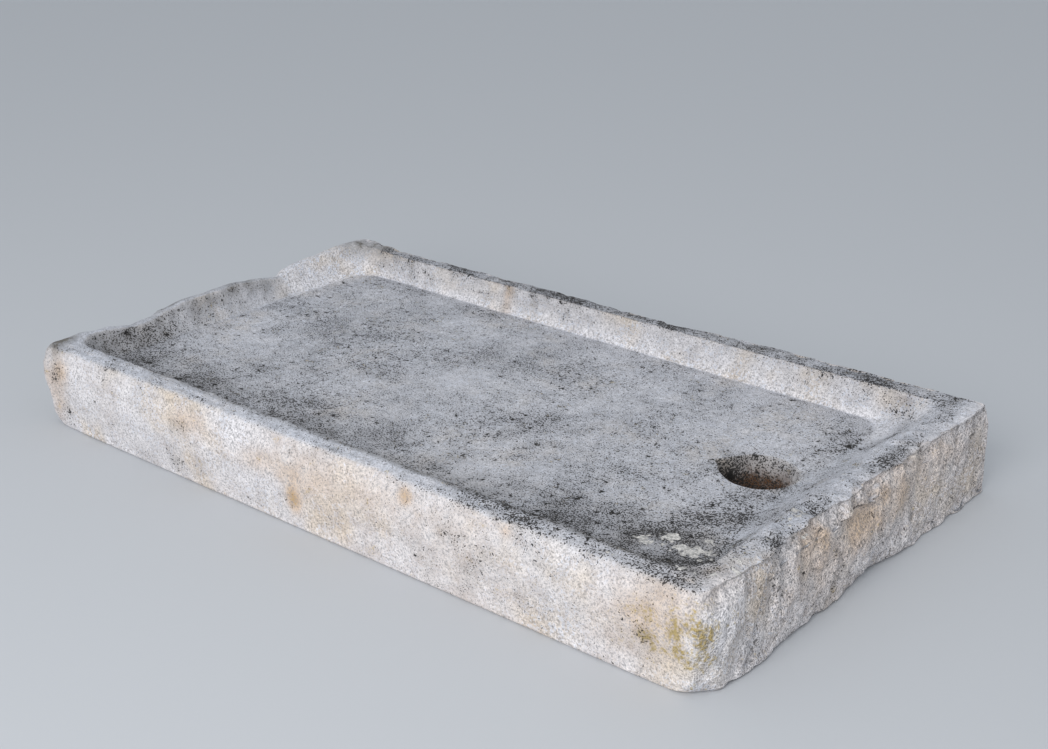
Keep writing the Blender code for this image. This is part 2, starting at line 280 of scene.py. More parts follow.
def facets(
    points: np.ndarray, size: Size, salt: int
) -> tuple[np.ndarray, np.ndarray, np.ndarray]:
    """Divides space among random seeds, one in each cell, and finds each point's nearest.

    Args:
        points: Points in metres.
        size: Width of a cell, or its three sides.
        salt: Which random seeds to use.

    Returns:
        Each point's distance to its seed in cells, the way from seed to point in cells, and three random
        numbers from -1 to 1 that belong to the seed.
    """
    scaled = points / np.asarray(size)
    low = np.floor(scaled)
    best = np.full(points.shape[:-1], np.inf)
    way = np.zeros_like(scaled)
    owner = np.zeros_like(scaled)
    for step in itertools.product((-1, 0, 1), repeat=3):
        cell = low + step
        offset = scaled - (cell + (hashed(cell, salt) + 1) / 2)
        distance = np.linalg.norm(offset, axis=-1)
        nearer = distance < best
        best = np.where(nearer, distance, best)
        way = np.where(nearer[..., None], offset, way)
        owner = np.where(nearer[..., None], cell, owner)
    return best, way, hashed(owner, salt + 1)


@dataclass(frozen=True)
class Sides:
    """One length for each side of the stone."""

    worn: float
    drain: float
    front: float
    back: float


@dataclass(frozen=True)
class Corners:
    """One radius for each corner of a course, anticlockwise from the front of the worn end."""

    front_worn: float
    front_drain: float
    back_drain: float
    back_worn: float


@dataclass(frozen=True)
class Zone:
    """A part of the profile that begins and ends softly.

    Attributes:
        rises: The places in the profile between which it begins.
        falls: The places between which it ends.
    """

    rises: Span = BEFORE_ALL
    falls: Span = PAST_ALL

    def share(self, profile: np.ndarray) -> np.ndarray:
        """How far inside the zone each place is: a ramp up, times one less a ramp down."""
        return ramp(profile, *self.rises) * (1 - ramp(profile, *self.falls))


@dataclass(frozen=True)
class Mark:
    """A kind of unevenness that repeats all over the stone.

    Attributes:
        depth: How strong it is.
        size: Width of a mark, or its three sides.
        salt: Which random field it follows.
        layers: How many layers of grain it has.
    """

    depth: float
    size: Size
    salt: int
    layers: int = 1

    def wave(self, points: np.ndarray) -> np.ndarray:
        """Its height at each point, up or down: the depth times the random field."""
        return self.depth * layered(points, self.size, self.salt, self.layers)

    def pressed(self, points: np.ndarray) -> np.ndarray:
        """Its depth at each point: the wave without its sign, so that ridges are sharp and hollows soft."""
        return np.abs(self.wave(points))


@dataclass(frozen=True)
class Courses:
    """Shares that make each course of the band out of the stone's sizes, one row for each course.

    Attributes:
        insets: Shares of the batters, feet, arrises, rims and runs.
        corners: Shares of the outer, foot, rim and floor corners.
        heights: Shares of the heights of foot and rim, the arris, the height of the floor and the crown.
        wear: Shares of the broken foot, the twist, the split, the broken back edge and the uneven slope.
        profile: Whole numbers for the section the course is in, plus the share of the way through it.
    """

    insets: np.ndarray
    corners: np.ndarray
    heights: np.ndarray
    wear: np.ndarray
    profile: np.ndarray

    @classmethod
    def section(
        cls, start: Section, share: np.ndarray, insets: tuple, corners: tuple, heights: tuple, wear: tuple
    ) -> "Courses":
        """Makes one section of the band.

        Args:
            start: The section.
            share: How far through the section each course is.
            insets: The five columns of the shares of insets.
            corners: The four columns of the shares of corners.
            heights: The five columns of the shares of heights.
            wear: The five columns of the shares of wear.

        Returns:
            The section's courses.
        """
        tables = [
            np.stack([np.asarray(column, float) + 0 * share for column in columns], axis=-1)
            for columns in (insets, corners, heights, wear)
        ]
        return cls(*tables, start + share)

    @classmethod
    def joined(cls, sections: Sequence["Courses"]) -> "Courses":
        """Puts sections one after another."""
        return cls(*(np.concatenate(tables) for tables in zip(*(section.tables() for section in sections))))

    def tables(self) -> tuple[np.ndarray, ...]:
        """The five tables."""
        return self.insets, self.corners, self.heights, self.wear, self.profile


@dataclass(frozen=True)
class Patch:
    """A stain, lichen or crust at one place on the stone.

    Attributes:
        place: Its middle.
        reach: How far it spreads along X, Y and Z.
        strength: How strong it is at its middle.
    """

    place: Triple
    reach: Triple
    strength: float

    def cover(self, points: np.ndarray) -> np.ndarray:
        """Covers points by a bell curve of their distance in reaches.

        Args:
            points: Points in metres.

        Returns:
            The patch's strength at each point.
        """
        away = (points - np.asarray(self.place)) / np.asarray(self.reach)
        return self.strength * np.exp(-(away * away).sum(axis=-1))


@dataclass(frozen=True)
class Noise:
    """A random pattern in the stone.

    Attributes:
        size: The three sides of one of its features in metres.
        detail: How many finer layers it has.
        lean: How far it leans over to the back, in radians.
    """

    size: Triple
    detail: float
    lean: float = 0.0


class Pattern(Enum):
    """The patterns in the stone, each a noise at the size of what it stands for, and 0.5 on average.

    The real grit is a quarter of a millimetre, which is too fine to show in the render. It is drawn as
    coarse as it needs to show, and the grains with it.
    """

    GRIT = Noise((0.0020, 0.0020, 0.0020), 1)
    GRAINS = Noise((0.0038, 0.0038, 0.0038), 2)
    SPECKS = Noise((0.0100, 0.0100, 0.0100), 2)
    MOTTLE = Noise((0.024, 0.024, 0.024), 3)
    CLOUDS = Noise((0.090, 0.090, 0.090), 3)
    STREAKS = Noise((0.0060, 0.0060, 0.0300), 3, 0.75)


@dataclass(frozen=True)
class Blend:
    """A sum of masks, patterns and other blends, kept as it is or turned into a share.

    Attributes:
        parts: How much each of them counts in the sum.
        span: The sums between which the share changes, or none to keep the sum.
        shares: The share at each end of the span.
        eased: Whether it changes along an even curve, and not along a straight line.
        within: The mask that the result is multiplied by, or none.
    """

    parts: dict[Enum, float]
    span: Span | None = None
    shares: Span = (0.0, 1.0)
    eased: bool = True
    within: WeatherAndPaintedLight | None = None

    @classmethod
    def film(cls, mask: WeatherAndPaintedLight, pattern: Enum, uneven: float) -> "Blend":
        """Makes the share of a thin film: its mask, times one plus or less the swing of a pattern.

        Args:
            mask: Where the film lies.
            pattern: What makes it uneven, a sum of two noises.
            uneven: How far it swings.

        Returns:
            The blend.
        """
        return cls({pattern: 1}, PAIR_SPAN, (1 - uneven, 1 + uneven), eased=False, within=mask)

    def socket(
        self, tree: bpy.types.NodeTree, found: dict[Enum, bpy.types.NodeSocket]
    ) -> bpy.types.NodeSocket:
        """Adds the blend to a material: the weighted sum, its change over the span and its mask.

        Args:
            tree: The material's nodes.
            found: The sockets of the masks, patterns and blends that it may be made of.

        Returns:
            The socket with the blend.
        """
        made = 0.0
        for part, weight in self.parts.items():
            inputs = {0: found[part], 1: weight, 2: made}
            made = add(tree, "ShaderNodeMath", inputs, operation="MULTIPLY_ADD").outputs[0]
        if self.span:
            ends = zip(("From Min", "From Max", "To Min", "To Max"), self.span + self.shares)
            inputs = {"Value": made, **dict(ends)}
            curve = "SMOOTHSTEP" if self.eased else "LINEAR"
            made = add(tree, "ShaderNodeMapRange", inputs, interpolation_type=curve).outputs[0]
        if self.within:
            inputs = {0: made, 1: found[self.within]}
            held = bool(self.span)
            made = add(tree, "ShaderNodeMath", inputs, operation="MULTIPLY", use_clamp=held).outputs[0]
        return made


# The sums between which a pair of noises mostly lies
PAIR_SPAN = (0.70, 1.30)

# What makes a spot of crust and of the painted shade held in its mask: mostly single grains, fewer or more of
# them by the mask
CRUST_AND_PAINTED_LIGHT_SPOTS = {
    Pattern.GRAINS: 1,
    Pattern.GRIT: 2.4,
    Pattern.SPECKS: 0.5,
    Pattern.MOTTLE: 0.3,
    WeatherAndPaintedLight.CRUST_AND_PAINTED_LIGHT: 1.42,
}

# What makes a ridge of the split stone, broken up by finer grains
RIDGED = {Pattern.STREAKS: 1, Pattern.GRIT: 0.6, Pattern.GRAINS: 0.8, Pattern.SPECKS: 0.4}

# What paints shade in it: umber in the low lines between its streaks, the lows of its relief
PAINTED_SHADE_IN_LOWS = {WeatherAndPaintedLight.SPLIT: 1, Pattern.STREAKS: -1.6, Pattern.GRIT: -0.8, Pattern.GRAINS: -0.6}


class Mixture(Enum):
    """Blends that stand in more than one place: pairs of noises, leaning ridges, umber round crust and
    painted shade.
    """

    PEPPER = Blend({Pattern.GRIT: 1, Pattern.GRAINS: 1})
    FLECKS = Blend({Pattern.GRAINS: 1, Pattern.MOTTLE: 1})
    RIDGES = Blend(RIDGED, within=WeatherAndPaintedLight.SPLIT)
    UMBER_ROUND_CRUST_AND_PAINTED_SHADE = Blend(CRUST_AND_PAINTED_LIGHT_SPOTS, (2.73, 3.12), (0, 0.36))


@dataclass(frozen=True)
class Wash:
    """A colour laid over those before it.

    Attributes:
        colour: The colour, sRGB.
        share: How much of it shows.
    """

    colour: str
    share: Blend


@dataclass(frozen=True)
class Limestone:
    """Weathered limestone, hewn and pecked by hand.

    It is a dull, fine-grained stone with hardly any shine, and with a salt and pepper of grains and pits.
    It is pale and warm where rain washes it, grey where dirt settles, and black and yellow where lichens
    grow. Some of its colour is painted light: a cool tint of sky light in the grey film on what faces up,
    painted shade in hollows and creases, and painted highlights on ridges and at a few lit places.

    Attributes:
        cream: The colour of the clean stone, sRGB.
        washes: The colours over it, from the first laid to the last.
        shade: What makes each grain lighter or darker, and what paints the split end's ridges lighter and the
            lows between them darker, as painted light and shade.
        height: The grains' relief, which is too fine for the mesh.
    """

    cream: str = "#E1DEE0"
    washes: tuple[Wash, ...] = (
        # warm clouds and cool flecks of clean stone
        Wash("#DDD0C2", Blend({Pattern.CLOUDS: 1}, (0.45, 0.75))),
        Wash("#D0D4DE", Blend({Mixture.FLECKS: 1}, (1.00, 1.20))),
        # ochre, with a peach bloom round it
        Wash("#E2D2C8", Blend({Pattern.MOTTLE: 1, WeatherAndPaintedLight.OCHRE: 1.8}, (0.45, 1.25))),
        Wash("#C2A47E", Blend.film(WeatherAndPaintedLight.OCHRE, Mixture.PEPPER, 0.8)),
        # grey film, tinted cool as painted sky light on what faces up, yellow lichen, brown grime with
        # painted shade in it, and rust
        Wash("#CCCED6", Blend.film(WeatherAndPaintedLight.PATINA_AND_PAINTED_LIGHT, Mixture.FLECKS, 0.30)),
        Wash("#AB9660", Blend({Mixture.FLECKS: 1, WeatherAndPaintedLight.YELLOW: 0.60}, (1.16, 1.56))),
        Wash("#76726C", Blend.film(WeatherAndPaintedLight.GRIME_AND_PAINTED_SHADE, Mixture.FLECKS, 0.8)),
        Wash("#6A4A32", Blend.film(WeatherAndPaintedLight.RUST, Mixture.FLECKS, 0.6)),
        # umber painted shade in the lows of the split stone, and umber round the crust and its painted shade
        Wash("#77716B", Blend(PAINTED_SHADE_IN_LOWS, (-0.36, 0.20))),
        Wash("#77716B", Blend({Mixture.UMBER_ROUND_CRUST_AND_PAINTED_SHADE: 1})),
        # black crust and black painted shade, black pits and chalky lichen
        Wash("#2E2C2B", Blend(CRUST_AND_PAINTED_LIGHT_SPOTS, (3.07, 3.22), (0, 0.95))),
        Wash("#2E2C2B", Blend({Pattern.SPECKS: 1, WeatherAndPaintedLight.CRUST_AND_PAINTED_LIGHT: 0.2}, (0.77, 0.84))),
        Wash("#CFCBC6", Blend({Pattern.SPECKS: 1, WeatherAndPaintedLight.PALE: 0.5}, (0.77, 0.83))),
    )
    # the grains' own tone, with the split end's ridges painted lighter and its lows darker: painted light and
    # shade of its relief
    shade: Blend = Blend(
        {Mixture.PEPPER: 1, Mixture.RIDGES: 0.35, WeatherAndPaintedLight.SPLIT: -0.42}, PAIR_SPAN, (0.54, 1.46), eased=False
    )
    height: Blend = Blend(
        {Pattern.GRAINS: 1, Pattern.GRIT: 0.8, Pattern.SPECKS: 1, Mixture.UMBER_ROUND_CRUST_AND_PAINTED_SHADE: -0.8, Mixture.RIDGES: 2.8}
    )
    # the grains' relief, and the shine of dull stone
    grain_height: float = 0.0018
    grain_strength: float = 0.9
    refraction: float = 1.5
    roughness: float = 0.92
    gloss: float = 0.25

    def material(self) -> bpy.types.Material:
        """Makes the material: masks, patterns and blends, then the washes, the shade and the grains' relief.

        Returns:
            The material.
        """
        made = bpy.data.materials.new("weathered_limestone_and_painted_light")
        made.use_nodes = True
        tree = made.node_tree
        shader = tree.nodes["Principled BSDF"]
        shader.inputs["IOR"].default_value = self.refraction
        shader.inputs["Roughness"].default_value = self.roughness
        shader.inputs["Specular IOR Level"].default_value = self.gloss

        place = add(tree, "ShaderNodeTexCoord").outputs["Object"]
        found = {}
        for kind in WeatherAndPaintedLight:
            found[kind] = add(tree, "ShaderNodeAttribute", attribute_name=kind.value).outputs["Fac"]
        for pattern in Pattern:
            noise = pattern.value
            inputs = {"Vector": place, "Rotation": (-noise.lean, 0, 0), "Scale": noise.size}
            sized = add(tree, "ShaderNodeMapping", inputs, vector_type="TEXTURE").outputs["Vector"]
            inputs = {"Vector": sized, "Scale": 1.0, "Detail": noise.detail}
            found[pattern] = add(tree, "ShaderNodeTexNoise", inputs).outputs["Fac"]
        for mixture in Mixture:
            found[mixture] = mixture.value.socket(tree, found)

        colour = linear(self.cream)
        for wash in self.washes:
            inputs = {MIX_FACTOR: wash.share.socket(tree, found), MIX_A: colour, MIX_B: linear(wash.colour)}
            colour = add(tree, "ShaderNodeMix", inputs, data_type="RGBA").outputs[MIX_RESULT]
        inputs = {MIX_FACTOR: 1.0, MIX_A: colour, MIX_B: self.shade.socket(tree, found)}
        shaded = add(tree, "ShaderNodeMix", inputs, data_type="RGBA", blend_type="MULTIPLY")
        inputs = {
            "Height": self.height.socket(tree, found),
            "Distance": self.grain_height,
            "Strength": self.grain_strength,
        }
        bump = add(tree, "ShaderNodeBump", inputs)
        tree.links.new(shaded.outputs[MIX_RESULT], shader.inputs["Base Color"])
        tree.links.new(bump.outputs["Normal"], shader.inputs["Normal"])
        return made


@dataclass
class StoneBasin:
    """The stone: its overall sizes from the frame, its other sizes, its wear and its mesh.

    Attributes:
        length: Length of the block at its widest line.
        width: Width of the block at its widest line.
        low: Lowest corner of the frame's box.
        high: Highest corner of the frame's box.
    """

    length: float
    width: float
    low: Triple
    high: Triple
    # the block: its corners in plan, and each side's batter, foot, arris, rim and slope
    rim_level: float = 0.122
    outer_corners: Corners = Corners(0.014, 0.014, 0.008, 0.024)
    foot_corners: Corners = Corners(0.026, 0.040, 0.008, 0.024)
    rim_corners: Corners = Corners(0.045, 0.045, 0.028, 0.028)
    floor_corners: Corners = Corners(0.062, 0.062, 0.045, 0.045)
    batters: Sides = Sides(0.002, 0.004, 0.009, 0.003)
    feet: Sides = Sides(0.024, 0.030, 0.007, 0.007)
    arrises: Sides = Sides(0.019, 0.007, 0.016, 0.004)
    rims: Sides = Sides(0.028, 0.045, 0.033, 0.036)
    runs: Sides = Sides(0.028, 0.073, 0.013, 0.013)
    crown: float = 0.001
    belly_places: Row = (0, 0.25, 0.55, 0.82, 1)
    belly_shares: Row = (0.15, 0.15, 0, 0.35, 1)
    square_until: float = 0.9
    edge_from: float = 0.84
    # how a length changes from one side to the next
    side_blur: float = 0.1
    side_power: int = 4
    # the front's twist, and the foot that lifts at the front corners
    twist: float = 0.009
    corner_lift: float = 0.012
    corner_reach: float = 0.100
    # the basin's floor, and the drain with its worn mouth
    basin_depth: float = 0.045
    floor_fall: float = 0.009
    drain_from_end: float = 0.177
    drain_off_centre: float = 0.043
    mouth_length: float = 0.098
    mouth_width: float = 0.088
    outlet_width: float = 0.070
    drain_lip: float = 0.003
    mouth_turns: Row = (0, 0.06, 0.18, 0.23, 0.31, 0.42, 0.47, 0.505, 0.56, 0.65, 0.76, 0.84, 1)
    mouth_shares: Row = (1.01, 1.03, 1.08, 1.08, 1.04, 0.95, 0.99, 1.10, 0.93, 0.89, 0.96, 1.00, 1.01)
    # the scoops in the worn end's lip
    lip_scoop: float = 0.0125
    lip_reach: float = 0.120
    lip_places: Row = (
        0, 0.10, 0.16, 0.245, 0.295, 0.335, 0.385, 0.54, 0.60, 0.685, 0.71, 0.75, 0.80, 0.90, 1,
    )
    lip_scoops: Row = (0, 0, 0.25, 0.95, 0.80, 0.35, 0, 0, 0.35, 1, 0.30, 0.12, 0, -0.25, -0.25)
    # the drain end: its broken foot, the slope behind it, its lumpy split and its rounded front corner
    foot_places: Row = (0, 0.08, 0.20, 0.30, 0.42, 0.47, 0.54, 0.60, 0.66, 0.75, 0.90, 1)
    foot_breaks: Row = (0.60, 0.40, 0.50, 0.58, 0.55, 0.90, 1, 0.80, 0.48, 0.36, 0.22, 0.18)
    foot_lumps: Mark = Mark(0.22, 0.034, 12, 3)
    foot_share: float = 0.1
    slope_places: Row = (0, 0.10, 0.48, 1)
    slope_runs: Row = (0.44, 0.44, 1, 1)
    split_depth: float = 0.0035
    split_lumps: Mark = Mark(1.0, 0.060, 11, 4)
    split_bias: float = 0.5
    corner_taper: float = 0.009
    taper_reach: float = 0.048
    # its broken arris, and what the back edge has lost
    bevel: float = 0.011
    bevel_places: Row = (0, 0.06, 0.20, 0.36, 0.42, 0.64, 0.70, 0.78, 1)
    bevel_shares: Row = (0.3, 0.5, 0.6, 0.8, 1, 0.9, 0.5, 0.35, 0.3)
    bevel_swing: float = 0.8
    bevel_limits: Span = (0.3, 1.7)
    edge_loss: float = 0.011
    edge_places: Row = (0, 0.04, 0.12, 0.30, 0.45, 0.58, 0.66, 0.72, 1)
    edge_losses: Row = (0, 0.60, 1, 0.75, 0.80, 1, 0.40, 0.10, 0)
    # the ledge over the lost flake, along the drain end
    ledge_places: Row = (0, 0.20, 0.39, 0.455, 0.485, 0.535, 0.555, 0.665, 0.72, 0.81, 1)
    ledge_heights: Row = (0.108, 0.108, 0.104, 0.103, 0.111, 0.098, 0.107, 0.108, 0.116, 0.113, 0.112)
    ledge_depths: Row = (0.001, 0.002, 0.003, 0.010, 0.011, 0.009, 0.005, 0.004, 0.003, 0.002, 0.001)
    ledge_drops: Row = (0.020, 0.020, 0.025, 0.035, 0.055, 0.050, 0.030, 0.025, 0.020, 0.020, 0.020)
    ledge_sharpness: Span = (0.004, 0.008)
    ledge_waver: Mark = Mark(0.002, 0.016, 44)
    ledge_smoothed: float = 0.7
    # the facets, leaning ribs and splinters of the split face
    lean: float = 0.35
    planes: Mark = Mark(0.0040, (0.040, 0.030, 0.055), 30)
    plane_rise: float = 0.6
    ribs: Mark = Mark(0.0050, (0.030, 0.020, 0.085), 40)
    rib_swing: Mark = Mark(1.0, 0.055, 43)
    splinters: Mark = Mark(0.0036, (0.020, 0.010, 0.022), 41)
    split_zone: Zone = Zone(falls=(1.9, 2.8))
    split_facing: Span = (0.45, 0.95)
    split_over_top: float = 0.6
    split_at_corner: float = 0.35
    # the swells of the dressing, and the pecks of the tool
    broad_dressing: Mark = Mark(0.0007, 0.120, 1)
    fine_dressing: Mark = Mark(0.0005, 0.030, 3)
    pecks: Mark = Mark(0.0011, 0.012, 5, 2)
    peck_least: float = 0.35
    peck_outside: float = 0.65
    peck_wall: float = 0.5
    pecked_zone: Zone = Zone(falls=(1.7, 2.2))
    wall_zone: Zone = Zone((3.8, 4.2), (4.9, 5.0))
    floor_zone: Zone = Zone((4.9, 5.2))
    floor_smoothed: float = 0.65
    bed_margin: float = 0.008
    # chipped and wavy edges, and the lumps and pocks of the rim
    chips: Mark = Mark(0.0026, 0.020, 20)
    chip_choice: Span = (0.1, 0.8)
    chip_reach: Span = (0.1, 0.55)
    edge_waves: Mark = Mark(0.0022, 0.050, 55, 2)
    edge_zone: Zone = Zone((1.6, 2.2), (2.9, 3.4))
    edge_wear: Sides = Sides(0.7, 2.2, 0.9, 1.3)
    rim_lumps: Mark = Mark(0.0016, 0.038, 58, 2)
    rim_pocks: Mark = Mark(0.0018, 0.022, 50, 3)
    rim_zone: Zone = Zone((2.5, 3.0), (4.3, 4.8))
    # the mesh: its rows and cells, how they crowd, and how far the rings round the drain reach
    face_crowding: float = 1.4
    wall_crowding: float = 0.8
    cells_long: int = 240
    cells_wide: int = 144
    hole_long: int = 24
    hole_wide: int = 24
    corner_cells: int = 8
    foot_rows: int = 8
    face_rows: int = 28
    arris_rows: int = 9
    rim_rows: int = 11
    wall_rows: int = 20
    bore_rows: int = 26
    lip_rows: int = 4
    ring_reach: float = 2.6

    def drain(self) -> np.ndarray:
        """The middle of the drain, in plan."""
        return np.array((self.length / 2 - self.drain_from_end, self.drain_off_centre))

    def mouth(self) -> np.ndarray:
        """Half the length and width of the drain's mouth, out to its eased lip."""
        eased = 1 + 2 * self.drain_lip / self.mouth_width
        return np.array((self.mouth_length, self.mouth_width)) / 2 * eased

    def along_stone(self, x: np.ndarray) -> np.ndarray:
        """Place along the stone, 0 at the worn end and 1 at the drain end."""
        return x / self.length + 1 / 2

    def across_stone(self, y: np.ndarray) -> np.ndarray:
        """Place across the stone, 0 at the front and 1 at the back."""
        return y / self.width + 1 / 2

    def of_nearest(self, x: np.ndarray, y: np.ndarray, sides: Sides) -> np.ndarray:
        """Gives each place the length of the side nearest to it.

        The four lengths are averaged, each weighted by the inverse fourth power of the distance to its
        side.

        Args:
            x: Places along the stone.
            y: Places across it.
            sides: The four lengths.

        Returns:
            A length for each place.
        """
        inside = (self.length / 2 + x, self.length / 2 - x, self.width / 2 + y, self.width / 2 - y)
        gaps = [np.maximum(gap, 0) / self.rim_level + self.side_blur for gap in inside]
        weights = [1 / gap**self.side_power for gap in gaps]
        return sum(weight * side for weight, side in zip(weights, astuple(sides))) / sum(weights)

    def at_drain_end(self, x: np.ndarray) -> np.ndarray:
        """1 at the drain end, falling to 0 a rim's width along the stone."""
        return ramp(x, self.length / 2 - self.rims.drain, self.length / 2)

    def rim_height(self, x: np.ndarray, y: np.ndarray) -> np.ndarray:
        """Height of the rim, less the scoops worn in the lip at the worn end."""
        scoop = self.lip_scoop * along(self.across_stone(y), self.lip_places, self.lip_scoops)
        return self.rim_level - scoop * (1 - ramp(x + self.length / 2, self.lip_reach / 2, self.lip_reach))

    def floor_height(self, x: np.ndarray, y: np.ndarray) -> np.ndarray:
        """Height of the floor, which rises evenly with the distance from the drain's lip."""
        middle = self.drain()
        away = np.maximum(np.hypot(x - middle[0], y - middle[1]) - self.mouth()[0], 0)
        return self.rim_level - self.basin_depth + self.floor_fall * away / self.length

    def off_corner(self, y: np.ndarray) -> np.ndarray:
        """How far clear of the rounded front corner a place on the drain end is, from 0 to 1."""
        return ramp(y + self.width / 2, self.taper_reach / 3, 2 * self.taper_reach)

    def foot_break(self, y: np.ndarray) -> np.ndarray:
        """How much of the drain end's foot is broken away, along that end, with small lumps in its line."""
        line = np.stack(np.broadcast_arrays(self.length, y, self.width), axis=-1)
        return along(self.across_stone(y), self.foot_places, self.foot_breaks) + self.foot_lumps.wave(line)

    def foot_height(self, x: np.ndarray, y: np.ndarray) -> np.ndarray:
        """Height at which the rounded foot meets the outer face.

        It is the nearest side's foot, less what has not broken at the drain end, and more at the front
        corners.

        Args:
            x: Places along the stone.
            y: Places across it.

        Returns:
            The height at each place.
        """
        from_corner = np.hypot(self.length / 2 - np.abs(x), self.width / 2 + y)
        lift = self.corner_lift * (1 - ramp(from_corner, 0, self.corner_reach))
        return self.of_nearest(x, y, self.feet) * (1 + self.at_drain_end(x) * (self.foot_break(y) - 1)) + lift

    def courses(self) -> Courses:
        """Sets out the band's courses, from the bed to the foot of the basin's walls.

        Foot and arris are quarters of an ellipse. The outer faces run straight between them with a faint
        belly. The rim's crown is a parabola, and the walls fall along an even curve.

        Returns:
            The courses.
        """
        share = np.arange(self.foot_rows) / self.foot_rows
        inset, rise = 1 - np.sin(share * math.pi / 2), 1 - np.cos(share * math.pi / 2)
        foot = Courses.section(
            Section.FOOT,
            share,
            (self.belly_shares[0], inset, 0, 0, 0),
            (share / 2, 1 - share / 2, 0, 0),
            (rise, 0, 0, 0, 0),
            (inset, 1, share, 0, 0),
        )
        share = 1 - (1 - np.arange(self.face_rows) / self.face_rows) ** self.face_crowding
        batter = along(share, self.belly_places, self.belly_shares)
        square = (1 - ramp(share, 0, self.square_until)) / 2
        face = Courses.section(
            Section.FACE,
            share,
            (batter, 0, 0, 0, 0),
            (1 - square, square, 0, 0),
            (1 - share, share, -share, 0, 0),
            (0, 1 - share, 1, np.clip((share - self.edge_from) / (1 - self.edge_from), 0, 1), 0),
        )
        share = np.arange(self.arris_rows) / self.arris_rows
        inset, drop = 1 - np.cos(share * math.pi / 2), 1 - np.sin(share * math.pi / 2)
        arris = Courses.section(
            Section.ARRIS,
            share,
            (1, 0, inset, 0, 0),
            (1, 0, 0, 0),
            (0, 1, -drop, 0, 0),
            (0, 0, 1 - share, 1, 0),
        )
        share = np.arange(self.rim_rows) / self.rim_rows
        rim = Courses.section(
            Section.RIM,
            share,
            (1, 0, 1 - share, share, 0),
            (1 - share, 0, share, 0),
            (0, 1, 0, 0, 4 * share * (1 - share)),
            (0, 0, 0, 1 - share, 0),
        )
        share = np.arange(self.wall_rows + 1) / self.wall_rows
        fallen = ramp(share**self.wall_crowding, 0, 1)
        wall = Courses.section(
            Section.WALL,
            share,
            (1, 0, 0, 1, share),
            (0, 0, 1 - share, share),
            (0, 1 - fallen, 0, fallen, 0),
            (0, 0, 0, 0, share),
        )
        return Courses.joined((foot, face, arris, rim, wall))

    def outlines(self, insets: np.ndarray, radii: np.ndarray) -> np.ndarray:
        """Draws each course in plan: a rectangle with round corners, anticlockwise.

        A corner is a quarter circle of evenly turned points, and a side is evenly divided between two
        corners. The first point is the middle of the corner at the front of the worn end.

        Args:
            insets: Four insets for each course, for the worn end, drain end, front and back.
            radii: Four corner radii for each course.

        Returns:
            The points in plan, course by point by two.
        """
        left, right = insets[:, 0] - self.length / 2, self.length / 2 - insets[:, 1]
        front, back = insets[:, 2] - self.width / 2, self.width / 2 - insets[:, 3]
        radius = radii.T
        middles = [
            (left + radius[0], front + radius[0]),
            (right - radius[1], front + radius[1]),
            (right - radius[2], back - radius[2]),
            (left + radius[3], back - radius[3]),
        ]
        arcs = []
        for corner, (x, y) in enumerate(middles):
            turn = math.pi * (1 + corner / 2) + np.linspace(0, math.pi / 2, 2 * self.corner_cells + 1)
            ring = np.stack((np.cos(turn), np.sin(turn)), axis=-1)
            arcs.append(np.stack((x, y), axis=-1)[:, None] + radius[corner][:, None, None] * ring)
        pieces = []
        for corner, arc in enumerate(arcs):
            cells = (self.cells_wide if corner % 2 else self.cells_long) - 2 * self.corner_cells
            share = (np.arange(1, cells) / cells)[None, :, None]
            start, end = arc[:, -1:], arcs[(corner + 1) % len(arcs)][:, :1]
            pieces += [arc, start + (end - start) * share]
        return np.roll(np.concatenate(pieces, axis=1), -self.corner_cells, axis=1)

    def band(self) -> tuple[np.ndarray, np.ndarray]:
        """Works out the band as a surface of two parameters: the course, and the place round the stone.

        Each course's insets, corner radii and heights are sums of the stone's sizes in the course's shares.

        Returns:
            The points, course by place by three, and each course's place in the profile.
        """
        courses = self.courses()
        sides = (self.batters, self.feet, self.arrises, self.rims, self.runs)
        corners = (self.outer_corners, self.foot_corners, self.rim_corners, self.floor_corners)
        sizes = np.array([astuple(side) for side in sides])
        radii = np.array([astuple(corner) for corner in corners])
        insets = courses.insets @ sizes
        x, y = self.moved(self.outlines(insets, courses.corners @ radii), insets[:, 1:2], courses)
        fields = np.stack(
            [
                self.foot_height(x, y),
                self.rim_height(x, y),
                self.of_nearest(x, y, self.arrises),
                self.floor_height(x, y),
                np.full_like(x, self.crown),
            ],
            axis=-1,
        )
        z = (fields * courses.heights[:, None]).sum(axis=-1)
        return np.stack((x, y, z), axis=-1), courses.profile

